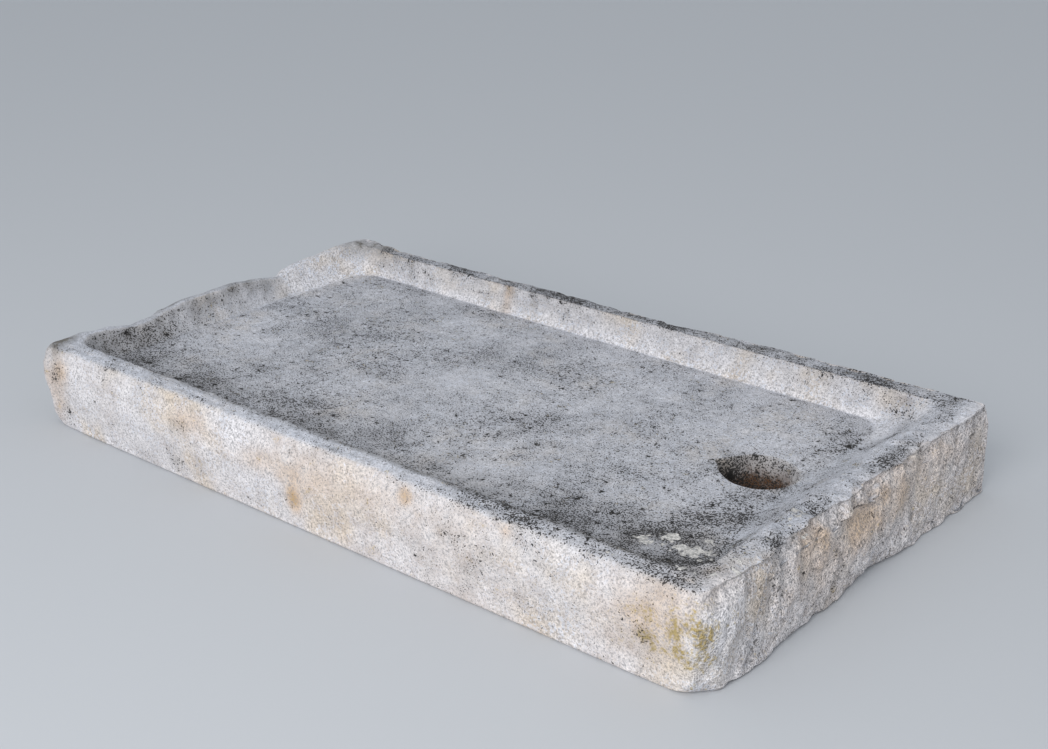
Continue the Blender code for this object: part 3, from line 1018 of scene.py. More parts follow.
    def moved(self, plan: np.ndarray, inset: np.ndarray, courses: Courses) -> tuple[np.ndarray, np.ndarray]:
        """Moves the courses in plan by breakage and wear.

        The drain end moves inwards by the sum of its broken foot, its lumpy split, its rounded front corner
        and its broken arris, and the slope behind it by its uneven run. The front moves back by the stone's
        twist, and the back edge moves forward by what it has lost.

        Args:
            plan: The points in plan, course by point by two.
            inset: Each course's inset at the drain end.
            courses: The courses.

        Returns:
            The points' new places along and across the stone.
        """
        x, y = plan[..., 0], plan[..., 1]
        foot, twist, split, broken, slope = (column[:, None] for column in courses.wear.T)
        across, lengthwise = self.across_stone(y), self.along_stone(x)
        near_end = self.at_drain_end(x + inset)
        near_corner = 1 - ramp(y + self.width / 2, 0, self.taper_reach)
        level = (courses.heights[:, 1:2] + courses.heights[:, :1] * self.foot_share) * self.rim_level
        lumps = self.split_lumps.wave(np.stack(np.broadcast_arrays(self.length, y, level), axis=-1))
        bevel = self.bevel * along(across, self.bevel_places, self.bevel_shares)
        inwards = near_end * (
            foot * self.feet.drain * (self.foot_break(y) - 1)
            + split * self.split_depth * np.clip(self.split_bias - lumps, 0, 2)
            + self.corner_taper * near_corner
            + broken * bevel * np.clip(1 - self.bevel_swing * lumps, *self.bevel_limits)
        )
        steeper = 1 - along(across, self.slope_places, self.slope_runs)
        foot_line = self.length / 2 - self.rims.drain - self.runs.drain
        inwards = inwards - slope * self.runs.drain * steeper * ramp(x, 0, foot_line)

        rim = self.rims.front
        near_front = 1 - ramp(y, 2 * rim - self.width / 2, 3 * rim - self.width / 2)
        near_back = ramp(y, self.width / 2 - 2 * self.rims.back, self.width / 2 - self.rims.back)
        loss = self.edge_loss * along(lengthwise, self.edge_places, self.edge_losses)
        backwards = twist * self.twist * (1 - lengthwise) * near_front - broken * loss * near_back
        return x - inwards, y + backwards

    def floor(self, edge: np.ndarray) -> tuple[np.ndarray, tuple[slice, slice]]:
        """Works out the floor as a grid that fills the foot of the walls and goes round the drain.

        Between the four edges a point is the sum of the two mixes of facing edges, less the mix of the
        corners. Near the drain the grid's squares are turned into rings: a point goes out from the drain's
        middle in its own direction, by the larger of its two counts of cells.

        Args:
            edge: The foot of the walls in plan, anticlockwise from the front of the worn end.

        Returns:
            The points, cells along by cells across by three, and the block of the grid that the drain takes
            out.
        """
        long, wide = self.cells_long, self.cells_wide
        front = edge[: long + 1][:, None]
        right = edge[long : long + wide + 1][None]
        back = edge[long + wide : 2 * long + wide + 1][::-1][:, None]
        left = np.concatenate((edge[2 * long + wide :], edge[:1]))[::-1][None]
        u = np.linspace(0, 1, long + 1)[:, None, None]
        v = np.linspace(0, 1, wide + 1)[None, :, None]
        corners = (1 - u) * ((1 - v) * front[:1] + v * back[:1]) + u * ((1 - v) * front[-1:] + v * back[-1:])
        plan = (1 - v) * front + v * back + (1 - u) * left + u * right - corners

        nearest = np.linalg.norm(plan - self.drain(), axis=-1).argmin()
        column, row = np.unravel_index(nearest, plan.shape[:2])
        half = np.array((self.hole_long, self.hole_wide)) / 2
        columns, rows = np.arange(long + 1) - column, np.arange(wide + 1) - row
        steps = np.stack(np.meshgrid(columns, rows, indexing="ij"), axis=-1) / half
        out = np.abs(steps).max(axis=-1, keepdims=True)
        way = steps / np.maximum(np.linalg.norm(steps, axis=-1, keepdims=True), np.finfo(float).tiny)
        near = 1 - ramp(out, 1, self.ring_reach)
        worn = 1 + (self.mouth_stretch(way) - 1) * near
        plan = plan + (self.drain() + self.mouth() * way * out * worn - plan) * near
        height = self.floor_height(plan[..., 0], plan[..., 1])
        across, down = self.hole_long // 2, self.hole_wide // 2
        hole = slice(column - across, column + across + 1), slice(row - down, row + down + 1)
        return np.concatenate((plan, height[..., None]), axis=-1), hole

    def mouth_stretch(self, way: np.ndarray) -> np.ndarray:
        """How far the drain's worn mouth stands out from a true ellipse, by the direction from its middle."""
        turn = np.arctan2(way[..., 1:], way[..., :1]) / (2 * math.pi) % 1
        return along(turn, self.mouth_turns, self.mouth_shares)

    def bore(self, mouth: np.ndarray) -> np.ndarray:
        """Works out the bore as rings below the mouth: a quarter round lip, then a narrowing to the bed.

        Args:
            mouth: The ring of the mouth on the floor, anticlockwise.

        Returns:
            The rings below the mouth, row by place by three.
        """
        way = (mouth[:, :2] - self.drain()) / self.mouth()
        worn = np.linalg.norm(way, axis=-1, keepdims=True)
        way = way / worn
        turn = np.arange(1, self.lip_rows + 1) / self.lip_rows * math.pi / 2
        level = self.rim_level - self.basin_depth
        rows = self.bore_rows - self.lip_rows
        share = np.arange(1, rows + 1) / rows
        across = np.concatenate(
            (
                self.mouth_width / 2 + self.drain_lip * (1 - np.sin(turn)),
                (self.mouth_width + (self.outlet_width - self.mouth_width) * share) / 2,
            )
        )
        height = np.concatenate(
            (level - self.drain_lip * (1 - np.cos(turn)), (level - self.drain_lip) * (1 - share))
        )
        stretch = np.array((self.mouth_length / self.mouth_width, 1))
        kept = (height / level)[:, None, None]
        plan = self.drain() + across[:, None, None] * way[None] * stretch * (1 + (worn[None] - 1) * kept)
        heights = np.broadcast_to(height[:, None, None], plan.shape[:2] + (1,))
        return np.concatenate((plan, heights), axis=-1)

    def surface(self) -> tuple[np.ndarray, list, np.ndarray]:
        """Joins band, floor, bore and bed into one closed surface.

        Returns:
            The points, the faces as lists of their points' numbers, and each point's place in the profile.
        """
        band, profile = self.band()
        rows, around = band.shape[:2]
        floor, hole = self.floor(band[-1, :, :2])
        long, wide = self.cells_long, self.cells_wide
        band_ids = np.arange(rows * around).reshape(rows, around)

        floor_ids = np.full((long + 1, wide + 1), -1)
        edge = band_ids[-1]
        floor_ids[:, 0] = edge[: long + 1]
        floor_ids[-1, :] = edge[long : long + wide + 1]
        floor_ids[:, -1] = edge[long + wide : 2 * long + wide + 1][::-1]
        floor_ids[0, :] = np.append(edge[2 * long + wide :], edge[0])[::-1]
        inner = np.zeros(floor_ids.shape, bool)
        inner[1:-1, 1:-1] = True
        taken = np.zeros(floor_ids.shape, bool)
        taken[hole[0].start + 1 : hole[0].stop - 1, hole[1].start + 1 : hole[1].stop - 1] = True
        fresh = inner & ~taken
        floor_ids[fresh] = rows * around + np.arange(fresh.sum())

        rim_ids = self.edge_of(floor_ids[hole])
        bore = self.bore(self.edge_of(floor[hole]))
        start = rows * around + fresh.sum()
        ring_ids = start + np.arange(bore.shape[0] * bore.shape[1]).reshape(bore.shape[:2])
        bore_ids = np.vstack((rim_ids, ring_ids))

        corners = (floor_ids[:-1, :-1], floor_ids[1:, :-1], floor_ids[1:, 1:], floor_ids[:-1, 1:])
        cells = np.stack(corners, axis=-1)
        kept = np.ones(cells.shape[:2], bool)
        kept[hole[0].start : hole[0].stop - 1, hole[1].start : hole[1].stop - 1] = False
        faces = self.strips(band_ids) + cells[kept].tolist() + self.strips(bore_ids)
        faces += self.bed(band_ids[0], bore_ids[-1])
        points = np.concatenate((band.reshape(-1, 3), floor[fresh], bore.reshape(-1, 3)))
        on_floor = np.full(fresh.sum(), Section.FLOOR + 0.5)
        in_bore = np.full(bore[..., 0].size, Section.BORE + 0.5)
        places = np.concatenate((np.repeat(profile, around), on_floor, in_bore))
        return points, faces, places

    @staticmethod
    def edge_of(block: np.ndarray) -> np.ndarray:
        """The outermost entries of a block of the floor's grid, anticlockwise."""
        return np.concatenate((block[:-1, 0], block[-1, :-1], block[:0:-1, -1], block[0, :0:-1]))

    @staticmethod
    def strips(ids: np.ndarray) -> list:
        """Joins each ring of points to the next by four-sided faces, and returns the faces."""
        following = np.roll(ids, -1, axis=1)
        return np.stack((ids[:-1], following[:-1], following[1:], ids[1:]), axis=-1).reshape(-1, 4).tolist()

    @staticmethod
    def bed(outer: np.ndarray, outlet: np.ndarray) -> list:
        """Closes the flat bed between the stone's edge and the drain's outlet.

        Each point of the outlet has a fan of triangles out to its share of the edge's points, and one more
        triangle joins each fan to the next.

        Args:
            outer: The numbers of the edge's points, anticlockwise.
            outlet: The numbers of the outlet's points, anticlockwise, a whole fraction as many.

        Returns:
            The triangles, facing down.
        """
        each = len(outer) // len(outlet)
        turned = np.roll(outer, each // 2)
        fans = np.stack((np.roll(turned, -1), turned, np.repeat(outlet, each)), axis=-1)
        ends = np.roll(turned, -each)[::each]
        links = np.stack((ends, outlet, np.roll(outlet, -1)), axis=-1)
        return fans.tolist() + links.tolist()

    def relief(self, points: np.ndarray, normals: np.ndarray, profile: np.ndarray) -> np.ndarray:
        """Works out how deep each point is pressed into the stone by dressing, weather and breakage.

        The depth is the sum of the dressing's swells, the pecks, the chips and waves of the edges, the
        lumps and pocks of the rim and what splitting left. It fades at the bed, and is less on the floor.

        Args:
            points: The points.
            normals: Their outward directions.
            profile: Their places in the profile.

        Returns:
            A depth for each point.
        """
        zones = (self.pecked_zone, self.wall_zone, self.floor_zone, self.edge_zone, self.rim_zone)
        outside, wall, floor, edge, rim = (zone.share(profile) for zone in zones)
        x, y, z = points.T
        facing = normals[:, 0] + self.split_over_top * np.maximum(normals[:, 2], 0) * self.at_drain_end(x)
        split = self.split_zone.share(profile) * ramp(facing, *self.split_facing)
        split = split * (self.split_at_corner + (1 - self.split_at_corner) * self.off_corner(y))
        away, _, seed = facets(points, self.chips.size, self.chips.salt)
        chipped = self.chips.depth * ramp(seed[:, 0], *self.chip_choice) * (1 - ramp(away, *self.chip_reach))
        worn = edge * (chipped + self.edge_waves.pressed(points))
        worn = worn + rim * (self.rim_pocks.pressed(points) + self.rim_lumps.pressed(points))
        depth = sum(mark.depth + mark.wave(points) for mark in (self.broad_dressing, self.fine_dressing))
        pecked = self.peck_least + self.peck_outside * outside + self.peck_wall * wall
        depth = depth + self.pecks.pressed(points) * pecked + self.of_nearest(x, y, self.edge_wear) * worn
        depth = depth + self.splitting(points) * split
        return depth * ramp(z, 0, self.bed_margin) * (1 - self.floor_smoothed * floor)

    def splitting(self, points: np.ndarray) -> np.ndarray:
        """Works out the depth of what splitting left on the drain end: facets, leaning ribs and a ledge.

        A facet's depth is that of its seed, plus a random slope times the way from the seed. The stone has
        come away from under the ledge, most of all where a flake is lost. What is gone is deepest just
        under the ledge and runs out downwards.

        Args:
            points: The points.

        Returns:
            A depth for each point.
        """
        leaning = points - points[:, 2:] * (0, self.lean, 0)
        _, way, seed = facets(leaning, self.planes.size, self.planes.salt)
        rise = self.plane_rise * (1 + seed[:, 0]) + (way * seed).sum(axis=-1)
        planes = self.planes.depth * np.clip(rise, 0, 2)
        ribs = self.ribs.pressed(leaning) * (1 + self.rib_swing.wave(points))
        across = self.across_stone(points[:, 1])
        tables = (self.ledge_heights, self.ledge_depths, self.ledge_drops)
        height, depth, drop = (along(across, self.ledge_places, table) for table in tables)
        below = height - points[:, 2] + self.ledge_waver.wave(points)
        edge, face = self.ledge_sharpness
        gone = ramp(below, 0, edge) * (1 - ramp(below, face, drop)) * depth
        smooth = 1 - self.ledge_smoothed * ramp(gone, 0, self.bevel / 2)
        return (planes + ribs + self.splinters.pressed(leaning)) * smooth + gone

    def build(self, weathering_and_painted_light: "WeatheringAndPaintedLight") -> bpy.types.Object:
        """Makes the stone's mesh with its relief, its shading, its weathering and its painted light and
        shade.

        Args:
            weathering_and_painted_light: What the weather has left on it, and the painted light and shade.

        Returns:
            The stone.
        """
        points, faces, profile = self.surface()
        mesh = bpy.data.meshes.new("limestone_basin")
        mesh.from_pydata(points, [], faces)
        normals = self.normals(mesh)
        points = points - normals * self.relief(points, normals, profile)[:, None]
        points = np.clip(points, self.low, self.high)
        mesh.vertices.foreach_set("co", points.astype(np.float32).ravel())
        mesh.update()
        mesh.shade_smooth()
        for kind, amount in weathering_and_painted_light.cover(self, points, self.normals(mesh), profile).items():
            attribute = mesh.attributes.new(kind.value, "FLOAT", "POINT")
            attribute.data.foreach_set("value", amount.astype(np.float32))
        stone = bpy.data.objects.new("limestone_basin", mesh)
        bpy.context.scene.collection.objects.link(stone)
        return stone

    @staticmethod
    def normals(mesh: bpy.types.Mesh) -> np.ndarray:
        """Reads the outward direction at each point of a mesh.

        Args:
            mesh: The mesh.

        Returns:
            The directions, one row for each point.
        """
        found = np.empty(len(mesh.vertices) * 3, np.float32)
        mesh.vertex_normals.foreach_get("vector", found)
        return found.reshape(-1, 3).astype(float)

    def dress(self, stone: bpy.types.Object, finish: Limestone) -> None:
        """Gives the stone its finish, and puts it in the frame in place of the plain solid."""
        stone.data.materials.append(finish.material())
        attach(stone, BODY)
        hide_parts(FRAME_NODE)


# Stains, lichens and crusts that stand out, with two paler patches that paint a highlight: the middle, the
# reach and the strength of each, face by face.
# A strength below 0 takes some away.
STAINS = {
    WeatherAndPaintedLight.PATINA_AND_PAINTED_LIGHT: (
        # rim
        Patch((0.556, 0.300, 0.122), (0.020, 0.040, 0.03), -0.70),
        Patch((0.540, -0.235, 0.122), (0.050, 0.070, 0.03), -0.85),
        Patch((0.535, 0.000, 0.122), (0.025, 0.220, 0.03), -0.22),
    ),
    WeatherAndPaintedLight.GRIME_AND_PAINTED_SHADE: (
        # front face
        Patch((-0.270, -0.315, 0.020), (0.150, 0.03, 0.022), 0.10),
        Patch((0.330, -0.315, 0.070), (0.220, 0.03, 0.060), 0.08),
        Patch((0.490, -0.315, 0.070), (0.090, 0.05, 0.045), 0.12),
        Patch((0.466, -0.315, 0.072), (0.026, 0.03, 0.020), -0.14),
        # rim
        Patch((-0.548, -0.288, 0.124), (0.028, 0.028, 0.024), 1.40),
        Patch((-0.555, -0.100, 0.116), (0.030, 0.130, 0.026), 0.50),
        Patch((-0.540, 0.060, 0.116), (0.030, 0.050, 0.024), 0.42),
        Patch((-0.515, 0.285, 0.122), (0.055, 0.030, 0.020), 0.80),
        Patch((0.050, 0.300, 0.122), (0.400, 0.030, 0.02), 0.28),
        # floor
        Patch((0.405, -0.190, 0.080), (0.090, 0.060, 0.03), 0.18),
        # drain
        Patch((0.343, 0.055, 0.055), (0.022, 0.032, 0.030), 0.40),
    ),
    WeatherAndPaintedLight.CRUST_AND_PAINTED_LIGHT: (
        # front face
        Patch((-0.528, -0.315, 0.072), (0.012, 0.03, 0.022), 0.48),
        Patch((-0.508, -0.315, 0.026), (0.014, 0.03, 0.018), 0.46),
        Patch((-0.268, -0.315, 0.066), (0.026, 0.03, 0.018), 0.24),
        Patch((-0.270, -0.315, 0.020), (0.150, 0.03, 0.022), 0.07),
        Patch((0.420, -0.315, 0.112), (0.060, 0.02, 0.014), 0.17),
        Patch((0.490, -0.315, 0.075), (0.090, 0.05, 0.045), 0.07),
        Patch((0.466, -0.315, 0.072), (0.026, 0.03, 0.020), -0.08),
        Patch((0.300, -0.315, 0.070), (0.180, 0.05, 0.060), 0.11),
        # rim
        Patch((0.537, 0.091, 0.122), (0.020, 0.030, 0.03), 0.35),
        Patch((0.530, 0.153, 0.122), (0.016, 0.022, 0.03), 0.28),
        Patch((0.532, 0.242, 0.122), (0.018, 0.036, 0.03), 0.16),
        Patch((0.533, -0.076, 0.122), (0.014, 0.020, 0.03), 0.3),
        Patch((0.540, -0.165, 0.122), (0.018, 0.030, 0.03), 0.3),
        Patch((0.525, -0.030, 0.122), (0.018, 0.060, 0.03), 0.05),
        Patch((0.515, -0.278, 0.122), (0.050, 0.036, 0.03), 0.10),
        Patch((0.495, -0.300, 0.122), (0.035, 0.018, 0.03), -0.10),
        Patch((0.476, 0.285, 0.122), (0.030, 0.030, 0.03), -0.17),
        Patch((0.515, -0.235, 0.122), (0.040, 0.040, 0.03), 0.06),
        Patch((0.556, 0.300, 0.122), (0.020, 0.040, 0.03), -0.20),
        Patch((-0.545, -0.285, 0.122), (0.022, 0.024, 0.015), 0.08),
        Patch((-0.530, -0.232, 0.118), (0.022, 0.034, 0.014), -0.20),
        Patch((0.061, 0.290, 0.122), (0.040, 0.014, 0.03), 0.27),
        Patch((0.150, 0.305, 0.122), (0.330, 0.030, 0.02), -0.09),
        Patch((-0.530, 0.290, 0.122), (0.040, 0.022, 0.03), 0.40),
        # floor
        Patch((0.405, -0.175, 0.080), (0.090, 0.075, 0.03), 0.19),
        Patch((0.430, -0.095, 0.080), (0.050, 0.055, 0.03), 0.24),
        Patch((0.110, -0.055, 0.080), (0.070, 0.080, 0.03), 0.10),
        Patch((0.441, 0.180, 0.080), (0.040, 0.080, 0.04), 0.19),
        Patch((0.050, 0.268, 0.100), (0.200, 0.020, 0.030), -0.05),
        Patch((-0.270, 0.190, 0.080), (0.150, 0.060, 0.03), -0.06),
        Patch((-0.420, -0.020, 0.080), (0.100, 0.120, 0.03), -0.05),
        Patch((0.445, 0.040, 0.082), (0.050, 0.110, 0.04), 0.08),
        # drain
        Patch((0.343, 0.055, 0.055), (0.022, 0.032, 0.030), 0.28),
        # back wall
        Patch((-0.206, 0.262, 0.089), (0.010, 0.03, 0.006), 0.45),
        Patch((-0.156, 0.262, 0.114), (0.008, 0.03, 0.006), 0.45),
        Patch((0.456, 0.262, 0.092), (0.030, 0.03, 0.012), 0.3),
        Patch((0.420, 0.262, 0.110), (0.110, 0.03, 0.020), 0.20),
        Patch((0.445, 0.262, 0.111), (0.030, 0.03, 0.014), 0.14),
        # drain end
        # the drain end's rounded front corner kept paler with less crust: partly cleaner worn edge, partly
        # painted highlight
        Patch((0.560, -0.295, 0.050), (0.030, 0.025, 0.080), -0.25),
    ),
    WeatherAndPaintedLight.OCHRE: (
        # front face
        Patch((-0.240, -0.315, 0.089), (0.045, 0.05, 0.018), 0.225),
        Patch((-0.120, -0.315, 0.074), (0.060, 0.05, 0.016), 0.15),
        Patch((-0.029, -0.315, 0.074), (0.050, 0.05, 0.016), 0.15),
        Patch((0.060, -0.315, 0.090), (0.120, 0.05, 0.025), 0.11),
        Patch((-0.045, -0.315, 0.044), (0.011, 0.05, 0.016), 1.0),
        Patch((0.138, -0.315, 0.102), (0.008, 0.05, 0.008), 0.50),
        Patch((0.287, -0.315, 0.108), (0.009, 0.05, 0.007), 0.275),
        Patch((-0.512, -0.315, 0.090), (0.014, 0.05, 0.016), 0.225),
        Patch((-0.530, -0.315, 0.060), (0.020, 0.05, 0.040), 0.30),
        Patch((0.500, -0.315, 0.075), (0.070, 0.05, 0.040), 0.26),
        # rim
        Patch((0.520, -0.275, 0.122), (0.045, 0.030, 0.03), 0.18),
        Patch((0.545, -0.120, 0.118), (0.030, 0.070, 0.02), -0.15),
        Patch((-0.204, 0.266, 0.118), (0.011, 0.012, 0.03), 0.85),
        # back wall
        Patch((0.460, 0.262, 0.105), (0.060, 0.03, 0.030), -0.12),
        # drain end
        Patch((0.560, -0.084, 0.093), (0.05, 0.010, 0.016), 0.28),
        Patch((0.560, 0.050, 0.098), (0.05, 0.012, 0.014), 0.20),
        Patch((0.560, 0.089, 0.092), (0.05, 0.014, 0.024), 0.28),
        # the drain end's rounded front corner kept paler with less ochre: partly cleaner worn edge, partly
        # painted highlight
        Patch((0.560, -0.300, 0.040), (0.030, 0.030, 0.080), -0.30),
        Patch((0.560, -0.005, 0.078), (0.05, 0.036, 0.024), 0.42),
        Patch((0.560, -0.090, 0.080), (0.05, 0.030, 0.030), 0.15),
        Patch((0.560, 0.100, 0.085), (0.05, 0.110, 0.035), 0.1),
        Patch((0.560, 0.195, 0.095), (0.05, 0.050, 0.022), 0.175),
        Patch((0.560, -0.109, 0.100), (0.05, 0.030, 0.014), 0.175),
    ),
    WeatherAndPaintedLight.YELLOW: (
        # front face
        Patch((-0.262, -0.315, 0.074), (0.026, 0.03, 0.014), 0.30),
        Patch((0.540, -0.315, 0.080), (0.030, 0.05, 0.036), 0.62),
        Patch((0.520, -0.315, 0.045), (0.036, 0.05, 0.026), 0.5),
        Patch((0.485, -0.315, 0.070), (0.045, 0.05, 0.030), 0.36),
        # drain end
        Patch((0.560, -0.131, 0.018), (0.05, 0.080, 0.014), 0.22),
    ),
    WeatherAndPaintedLight.PALE: (
        # rim
        Patch((0.527, -0.104, 0.122), (0.018, 0.026, 0.03), 1.0),
        Patch((0.528, -0.200, 0.122), (0.012, 0.040, 0.03), 0.60),
        Patch((0.505, -0.272, 0.122), (0.024, 0.020, 0.03), 0.60),
        Patch((0.545, -0.250, 0.122), (0.016, 0.018, 0.03), 0.60),
        Patch((0.420, -0.292, 0.122), (0.020, 0.010, 0.03), 0.55),
        # floor
        Patch((0.395, -0.184, 0.080), (0.0210, 0.0190, 0.03), 1.0),
        Patch((0.447, -0.171, 0.080), (0.0175, 0.0213, 0.03), 1.0),
        Patch((0.423, -0.176, 0.080), (0.01, 0.01, 0.03), 0.95),
        Patch((0.404, -0.158, 0.080), (0.0112, 0.01, 0.03), 0.90),
        Patch((0.443, -0.140, 0.080), (0.01, 0.0112, 0.03), 0.90),
    ),
    WeatherAndPaintedLight.RUST: (
        # drain
        Patch((0.350, 0.075, 0.040), (0.030, 0.020, 0.020), 0.40),
        # back wall
        Patch((0.453, 0.262, 0.113), (0.012, 0.03, 0.008), 0.40),
    ),
}


@dataclass(frozen=True)
class Spread:
    """How much of something lies on a kind of face, by the side of the stone that it is near.

    Attributes:
        usual: How much lies near each side.
        shed: The share that is missing where the worn end is sound, which leaves the sound corner and its lit
            step paler, partly as painted highlight.
        sheltered: How much more lies where the worn end is sheltered.
        further: How much more lies towards the drain end.
        places: The places along the stone between which that comes in.
    """

    usual: Sides
    shed: float
    sheltered: Sides = Sides(0, 0, 0, 0)
    further: Sides = Sides(0, 0, 0, 0)
    places: Span = (0, 1)

    def over(
        self, stone: StoneBasin, x: np.ndarray, y: np.ndarray, sheltered: np.ndarray, sound: np.ndarray
    ) -> np.ndarray:
        """Spreads it over places: what is usual, plus what is more, less what is shed.

        Args:
            stone: The stone.
            x: Places along the stone.
            y: Places across it.
            sheltered: How sheltered each place is.
            sound: How sound the stone is there.

        Returns:
            How much lies at each place.
        """
        amount = stone.of_nearest(x, y, self.usual) + sheltered * stone.of_nearest(x, y, self.sheltered)
        amount = amount + ramp(x, *self.places) * stone.of_nearest(x, y, self.further)
        return amount * (1 - self.shed * sound)


@dataclass(frozen=True)
class WeatheringAndPaintedLight:
    """What the weather has left on the stone, with painted light laid in: films, dirt and crusts by region,
    with painted shade and highlights among them, and stains at their places.

    Attributes:
        crust_and_painted_light: How much crust, painted shade and painted highlight lies in each region.
        grime_and_painted_shade: How much grime and painted shade lies in each region.
    """

    # zones of the profile
    outside: Zone = Zone(falls=(2.1, 2.7))
    chipped: Zone = Zone((1.6, 2.1), (2.7, 3.5))
    inner_rim: Zone = Zone((3.2, 3.9))
    walls: Zone = Zone((3.9, 4.2), (4.95, 5.05))
    # the lower back wall down to its foot, where less crust and film paint a highlight
    painted_highlight_band: Zone = Zone((4.45, 4.85), (4.98, 5.02))
    floor: Zone = Zone((4.9, 5.2), (5.6, 6.4))
    bore: Zone = Zone((5.6, 6.4))
    # how far a face looks up (for the film and its painted sky tint) or out, how deep a hollow of the split
    # end lies for its painted shade, and how deep a place in the bore lies
    facing_up: Span = (0.60, 0.98)
    facing_out: Span = (0.3, 0.8)
    painted_shade_hollow_depths: Span = (0.002, 0.009)
    sunk_depths: Span = (0.006, 0.040)
    # where the regions lie along and across the stone
    sound_across: Span = (0.10, 0.13)
    sound_along: Span = (0.06, 0.10)
    sheltered_across: Span = (-0.22, 0.08)
    painted_highlight_band_across: Span = (0.15, 0.22)
    inner_along: Span = (-0.6, 0)
    inner_sides: Sides = Sides(0.2, 0, 1, 0)
    crevice_shadow_reach: float = 0.085
    # uneven patches
    broad: Mark = Mark(1.0, 0.150, 60, 3)
    patch: Mark = Mark(1.0, 0.045, 70, 3)
    chip_waver: float = 0.25
    dirt_and_painted_shade_swing: float = 0.5
    # what lies on the walls and the rim
    film: Spread = Spread(Sides(0.60, 0.85, 0.90, 0.10), 0.8)
    # dirt on the walls, most on the inner face of the front wall, which faces away from the light: partly
    # painted shade
    dirt_and_painted_shade: Spread = Spread(Sides(0.10, 0.04, 0.60, 0.06), 0.9, Sides(0.25, 0, 0, 0))
    wall_crust: Spread = Spread(
        Sides(0.40, 0.44, 0.60, 0.45), 0.4, Sides(0.18, 0, 0, 0), Sides(0, 0, 0, -0.07), (-0.25, 0.1)
    )
    rim_crust: Spread = Spread(
        Sides(0.28, 0.48, 0.46, 0.67), 0.6, further=Sides(0, 0, 0.24, 0), places=(0, 0.45)
    )
    # crust, with painted shade where it is raised in hollows and along the foot of the front wall, and
    # painted highlight where it is cut at the back wall's foot
    crust_and_painted_light: tuple[tuple[Region, float], ...] = (
        (Region.OUTSIDE, 0.29),
        (Region.END, -0.07),
        (Region.PAINTED_SHADE_IN_HOLLOWS, 0.14),
        (Region.CHIPPED, -0.12),
        (Region.RIM, 1.0),
        (Region.INNER_RIM, 0.08),
        (Region.WALLS, 1.0),
        (Region.PAINTED_HIGHLIGHT_BAND, -0.30),
        (Region.CREVICE_PAINTED_SHADOW_AND_DIRT, 0.20),
        (Region.FLOOR, 0.53),
        (Region.BORE, 0.66),
        (Region.PATCH, 0.15),
        (Region.INNER_PATCH, -0.08),
        (Region.BROAD, 0.14),
    )
    # grime, with painted shade in the hollows of the split end, along the foot of the front wall and on the
    # walls
    grime_and_painted_shade: tuple[tuple[Region, float], ...] = (
        (Region.PAINTED_SHADE_IN_HOLLOWS, 0.10),
        (Region.INNER_RIM, 0.45),
        (Region.DIRT_AND_PAINTED_SHADE_ON_WALLS, 1.0),
        (Region.CREVICE_PAINTED_SHADOW_AND_DIRT, 0.30),
        (Region.PATCHY_CREVICE_PAINTED_SHADOW_AND_DIRT, 0.30),
        (Region.BORE, 0.22),
        (Region.SUNK, 0.36),
    )
    # grey film on what faces up, tinted there as painted sky light, and the shares of it that are lost, at
    # the sound corner and the back wall's foot partly as painted highlight
    patina_and_painted_light: float = 0.90
    patina_and_painted_light_on_floor: float = -0.18
    patina_and_painted_light_swing: float = 0.25
    patina_lost_at_lit_sound_corner: float = 0.6
    patina_lost_in_highlight_band: float = 0.5
    patina_and_painted_light_lost_chipped: float = 0.6
    # ochre, and the shares that film hides
    ochre: float = 0.03
    ochre_further: float = 0.05
    ochre_along: Span = (-0.4, 0.2)
    ochre_swing: float = 0.07
    ochre_hidden: float = 0.8
    # the share of split stone left at the front corner, and how strong stains are
    split_at_corner: float = 0.3
    stain: float = 0.8
    stain_swing: float = 0.5

    def cover(
        self, stone: StoneBasin, points: np.ndarray, normals: np.ndarray, profile: np.ndarray
    ) -> dict[WeatherAndPaintedLight, np.ndarray]:
        """Works out how much of each kind of weathering and painted light lies at each point.

        Crust and grime, with the painted shade and highlights in them, are sums over the regions. Grey film
        lies on what faces up, with a cool tint that paints sky light there, and on the walls. Ochre shows
        where no film lies. Each stain is then added, more or less of it by the uneven patches.

        Args:
            stone: The stone.
            points: The points.
            normals: Their outward directions.
            profile: Their places in the profile.

        Returns:
            For each kind, a number from 0 to 1 for each point.
        """
        x, y, _ = points.T
        sound = ramp(y, *self.sound_across) * (1 - ramp(x + stone.length / 2, *self.sound_along))
        region = self.regions(stone, points, normals, profile, sound)
        sheltered = 1 - ramp(y, *self.sheltered_across)
        walls, floor = self.walls.share(profile), region[Region.FLOOR]
        flat = ramp(normals[:, 2], *self.facing_up)
        film = flat * (self.patina_and_painted_light + self.patina_and_painted_light_on_floor * floor + self.patina_and_painted_light_swing * region[Region.BROAD])
